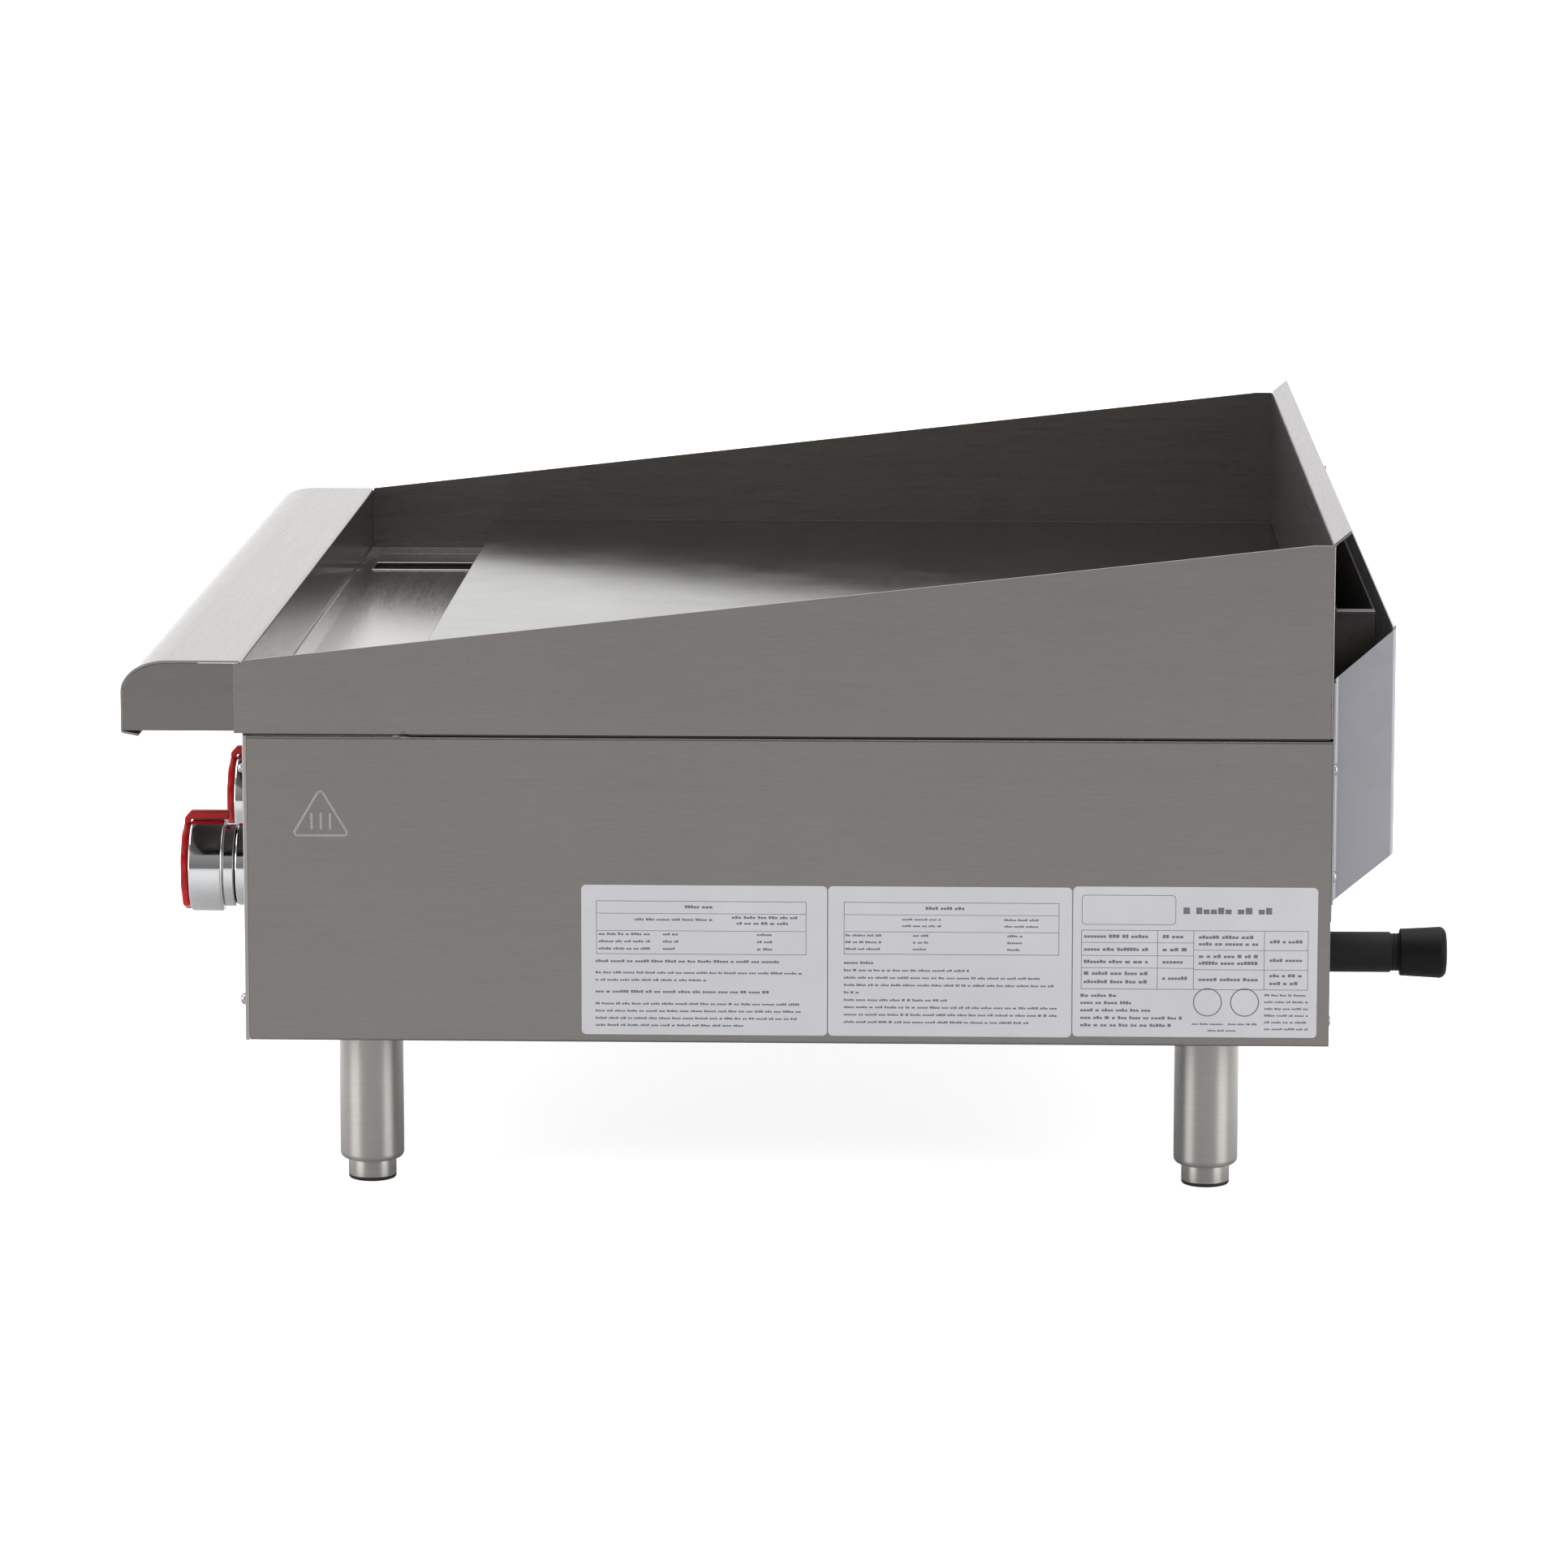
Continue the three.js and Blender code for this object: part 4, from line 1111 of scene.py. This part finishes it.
def legTube(end, name):
    node = f"leg_{end}_{name}"
    (left, right), (front, back), (bottom, top) = spans(node)
    centre = ((left + right) / 2, (front + back) / 2, 0)
    radius, turnIn = (right - left) / 2, legShape["round"]
    arc = [(radius - turnIn * (1 - cosine), bottom + turnIn * (1 - sine)) for sine, cosine in quarterTurn(8)]
    profile = [
        (radius - 0.3, top), (radius, top - 0.3), *arc, (legShape["bore"], bottom),
        (legShape["bore"], legShape["nutBottom"]), (legShape["nutBore"], legShape["nutBottom"]),
        (legShape["nutBore"], legShape["nutTop"]), (radius - legShape["wall"], legShape["nutTop"]),
        (radius - legShape["wall"], top),
    ]
    tube = turned(f"leg_tube_{end}_{name}", profile, "z", centre, legSteel, 96)
    finished(softened(tube, 0.15, 2, 50), "griddle", "leg_steel", node)


def levellingFoot(end, name):
    node = f"foot_{end}_{name}"
    (left, right), (front, back), (bottom, top) = spans(node)
    centre = ((left + right) / 2, (front + back) / 2, 0)
    radius, pad = (right - left) / 2, footShape["rubber"]
    body = f"foot_{end}_{name}"
    profile = [
        (0, bottom + pad), (radius - 0.6, bottom + pad), (radius - 0.1, bottom + pad + 0.5),
        (radius - 0.1, bottom + 12), (radius - 0.5, bottom + 12.4), (radius - 0.5, bottom + 13.2),
        (radius - 0.1, bottom + 13.6), (radius - 0.1, bottom + footShape["depth"] - 1),
        (radius - 1.1, bottom + footShape["depth"]), (footShape["stem"], bottom + footShape["depth"]),
        (footShape["stem"], top - 0.8), (footShape["stem"] - 0.8, top), (0, top),
    ]
    post = turned(f"foot_post_{end}_{name}", profile, "z", centre, footSteel, 96)
    finished(softened(post, 0.15, 2, 50), body, "leg_steel", node)
    profile = [
        (0, bottom), (radius - 2.2, bottom), (radius - 0.8, bottom + 0.5), (radius - 0.15, bottom + 1.5),
        (radius - 0.15, bottom + pad - 0.15), (radius - 0.6, bottom + pad - 0.02), (0, bottom + pad - 0.02),
    ]
    sole = turned(f"foot_sole_{end}_{name}", profile, "z", centre, rubber, 96)
    finished(sole, body, "black_plastic")


print("legs")
for end in ("front", "rear"):
    for name in sideSigns:
        legTube(end, name)
        levellingFoot(end, name)

screw = {"radius": 3.7, "height": 2.3, "slot": 0.9, "reach": 2.4, "deep": 1.3}


def panScrew(x, y, z, axis, way, radius=screw["radius"], height=screw["height"]):
    profile = [
        (0, way * height), (radius * 0.45, way * height * 0.97), (radius * 0.75, way * height * 0.86),
        (radius * 0.93, way * height * 0.6), (radius, way * height * 0.25), (radius, 0), (0, 0),
    ]
    head = turned("screw", profile, axis, (x, y, z), screwSteel, 32)
    slot, reach = screw["slot"] / 2, screw["reach"] / screw["radius"] * radius
    ends = sorted((way * (height - screw["deep"]), way * (height + 3)))
    cutters = []
    for a, b in ((slot, reach), (reach, slot)):
        reaches = toSpace(axis, (-a, a), (-b, b), ends)
        moved = [tuple(c + value for value in pair) for c, pair in zip((x, y, z), reaches)]
        cutters.append(blocks("cutter", [moved], screwSteel))
    return cutAway(head, *cutters)


screwRows = {
    "wingInset": 7.2,
    "wingHeights": (178.2, 109.2),
    "rearAcross": (-430, -215, 0, 215, 430),
    "rearHeight": 12,
    "flueAcross": (-300, 0, 300),
    "flueFace": 693.5,
    "flueHeight": 97,
    "frontAcross": 448.5,
    "frontHeights": (25.5, 176),
    "frontHead": (3.75, 3.7),
    "panAcross": 434,
    "panDepths": (20, 346, 672),
}


def addScrews():
    row, sides = screwRows, sideSigns.values()
    back = span("rear_panel", "y")[1]
    wing = span("flue_end_right", "y")[0] + flue["sheet"]
    wingX = span("body_side_right", "x")[1] - row["wingInset"]
    rear = [(side * wingX, wing, z, "y", 1) for side in sides for z in row["wingHeights"]]
    rear += [(x, back, row["rearHeight"], "y", 1) for x in row["rearAcross"]]
    rear += [(x, row["flueFace"], row["flueHeight"], "y", 1) for x in row["flueAcross"]]
    front = [(side * row["frontAcross"], 0, z, "y", -1, *row["frontHead"])
             for side in sides for z in row["frontHeights"]]
    pan = [(side * row["panAcross"], y, 0, "z", -1) for side in sides for y in row["panDepths"]]
    for name, spots in {"back_screws": rear, "front_screws": front, "pan_screws": pan}.items():
        finished(gathered(name, [panScrew(*spot) for spot in spots]), "griddle", None)


print("fasteners")
addScrews()

emblem = {
    "apex": (49.6, 165),
    "baseZ": 132.5,
    "left": 30.2,
    "right": 69,
    "line": 1.5,
    "height": 0.45,
    "ribs": (43.9, 49.8, 55.7),
    "ribHalf": 0.8,
    "ribZ": (137, 148),
}


def pressedEmblem():
    face = span("body_side_right", "x")[1]
    corners = [(emblem["left"], emblem["baseZ"]), (emblem["right"], emblem["baseZ"]), emblem["apex"]]
    outline = closedRound(corners, 2.6, 6)
    reach = (face - 0.02, face + emblem["height"])
    # The emblem's lighter steel is a painted highlight on its pressed rim and ribs.
    rim = softened(rimPiece("rim", outline, emblem["line"], "x", *reach, pressedHighlightSteel), 0.4, 3)
    ribs = []
    for y in emblem["ribs"]:
        rib = closedRound(rectangle((y - emblem["ribHalf"], y + emblem["ribHalf"]), emblem["ribZ"]), 0.75, 4)
        ribs.append(softened(pushed("rib", rib, "x", *reach, pressedHighlightSteel), 0.4, 3))
    finished(gathered("pressed_emblem", [rim, *ribs]), "griddle", "stainless")


label = {"thick": 0.22, "corner": 3, "print": 0.03, "seed": 11}
labels = {
    1: {"y": (215.5, 372.2), "z": (5.4, 102.5)},
    2: {"y": (372.9, 528.0), "z": (5.4, 102.5)},
    3: {"y": (528.7, 684.0), "z": (6.1, 103.3)},
}


class Printer:  # gathers the bars of one label; u runs along it and v down it, in millimetres
    def __init__(self, number):
        self.y, self.top = labels[number]["y"][0], labels[number]["z"][1]
        self.face = span("body_side_right", "x")[1] + label["thick"]
        self.bars = []
        self.random = random.Random(label["seed"] + number)

    def bar(self, u0, v0, u1, v1):
        xs = (self.face - 0.01, self.face + label["print"])
        self.bars.append((xs, (self.y + u0, self.y + u1), (self.top - v1, self.top - v0)))

    def words(self, u0, u1, v, height=1.25, longest=8.5, fill=0.82):
        u = u0
        while u < u1 - 1.5:
            width = min(self.random.uniform(2.0, longest), u1 - u)
            letters = max(int(width / (height * 0.95)), 1)
            step = width / letters
            for i in range(letters):
                tall = height * self.random.choice((0.72, 0.72, 1.0))
                self.bar(u + i * step, v + height - tall, u + i * step + step * fill, v + height)
            u += width + height * 0.75

    def box(self, u0, v0, u1, v1, line=0.35):
        self.bar(u0, v0, u1, v0 + line)
        self.bar(u0, v1 - line, u1, v1)
        self.bar(u0, v0 + line, u0 + line, v1 - line)
        self.bar(u1 - line, v0 + line, u1, v1 - line)

    def made(self, name):
        return blocks(name, self.bars, ink)


def labelSheet(number):
    spot = labels[number]
    face = span("body_side_right", "x")[1]
    outline = closedRound(rectangle(spot["y"], spot["z"]), label["corner"], 8)
    sheet = pushed(f"label_{number}", outline, "x", face + 0.01, face + label["thick"], labelPaper)
    finished(softened(sheet, 0.06), "griddle", None)


def tableLabel(number):
    sheet = Printer(number)
    sheet.box(9.5, 10.2, 143.5, 44.8)
    for v in (18.2, 29.4):
        sheet.bar(9.9, v, 143.1, v + 0.3)
    sheet.words(66, 84, 13.0, 1.9, 18)
    sheet.words(34, 84, 21.5, 1.5)
    sheet.words(96, 138, 19.8, 1.7)
    sheet.words(99, 134, 23.6, 1.7)
    for v in (31.0, 35.7, 40.4):
        sheet.words(11, 44, v, 1.5, 12)
        sheet.words(52, 62, v, 1.5, 10)
        sheet.words(112, 122, v, 1.5, 10)
    sheet.words(9, 128, 48.4, 1.7, 12)
    sheet.words(9, 141, 56.0, 1.4)
    sheet.words(9, 80, 60.8, 1.4)
    sheet.words(9, 120, 68.2, 1.7, 12)
    for v, end in ((76.2, 141), (80.9, 142), (85.6, 140), (90.2, 104)):
        sheet.words(9, end, v, 1.4)
    return sheet


def plainLabel(number):
    sheet = Printer(number)
    sheet.box(10.0, 10.2, 147.0, 44.0)
    for v in (18.2, 29.2):
        sheet.bar(10.4, v, 146.6, v + 0.3)
    sheet.words(62, 90, 13.0, 1.9, 26)
    for v in (20.6, 24.8):
        sheet.words(47, 72, v, 1.3)
        sheet.words(112, 134, v, 1.3)
    for v in (31.0, 35.4, 39.8):
        sheet.words(11, 34, v, 1.4, 12)
        sheet.words(54, 64, v, 1.4, 10)
        sheet.words(114, 124, v, 1.4, 10)
    sheet.words(10, 29, 48.6, 1.7, 19)
    for v, end in ((53.6, 90), (58.4, 136), (63.2, 144), (68.0, 20), (72.9, 76), (77.6, 146), (82.4, 146),
                   (87.2, 128)):
        sheet.words(10, end, v, 1.4)
    return sheet


def ratingLabel(number):
    sheet = Printer(number)
    sheet.words(70, 127, 13.2, 4.2, 30)
    sheet.box(5.2, 28.0, 149.5, 66.4)
    for u in (53.6, 76.5, 121.4):
        sheet.bar(u, 28.3, u + 0.35, 66.1)
    for v in (36.0, 44.4, 52.4):
        sheet.bar(5.5, v, 76.5, v + 0.3)
    for v in (40.6, 53.2):
        sheet.bar(76.8, v, 149.2, v + 0.3)
    for v in (31.0, 39.4, 47.4, 55.0, 60.4):
        sheet.words(7, 48, v, 2.1, 16)
    for v in (31.0, 39.4, 47.4, 58.0):
        sheet.words(57, 73, v, 2.1, 14)
    for v in (31.2, 35.6, 43.6, 48.0, 58.6):
        sheet.words(80, 118, v, 2.1, 14)
    for v in (34.0, 46.0, 56.0, 61.0):
        sheet.words(125, 146, v, 2.0, 12)
    for v, end in ((69.5, 30), (74.2, 38), (79.0, 52), (83.9, 70), (88.7, 64)):
        sheet.words(5, end, v, 1.9, 10)
    for v in (69.0, 73.4, 77.8, 82.2, 86.6, 91.0):
        sheet.words(122, 150, v, 1.3)
    for u in (76, 99):
        sheet.words(u, u + 20, 88.0, 1.2)
    sheet.words(86, 104, 92.2, 1.2)
    return sheet


def ringMark(u, v, radius, width):
    spot = labels[3]
    face = span("body_side_right", "x")[1] + label["thick"]
    centre = (0, spot["y"][0] + u, spot["z"][1] - v)
    profile = [(radius - width, face - 0.01), (radius, face - 0.01), (radius, face + label["print"]),
               (radius - width, face + label["print"])]
    return turned("ring", profile, "x", centre, ink, 48)


def addLabels():
    for number in labels:
        labelSheet(number)
    for number, layout in ((1, tableLabel), (2, plainLabel)):
        finished(layout(number).made(f"label_print_{number}"), "griddle", None)
    spot = labels[3]
    face = span("body_side_right", "x")[1] + label["thick"]
    y, top = spot["y"][0], spot["z"][1]
    frameLine = closedRound(rectangle((y + 5.5, y + 65.3), (top - 24.6, top - 5.4)), 2.5, 6)
    extras = [rimPiece("frame", frameLine, 0.35, "x", face - 0.01, face + label["print"], ink)]
    extras += [ringMark(u, 74.5, 9.2, 0.7) for u in (85.8, 109.4)]
    finished(gathered("label_print_3", [ratingLabel(3).made("text"), *extras]), "griddle", None)


print("marks")
pressedEmblem()
addLabels()

print("done")
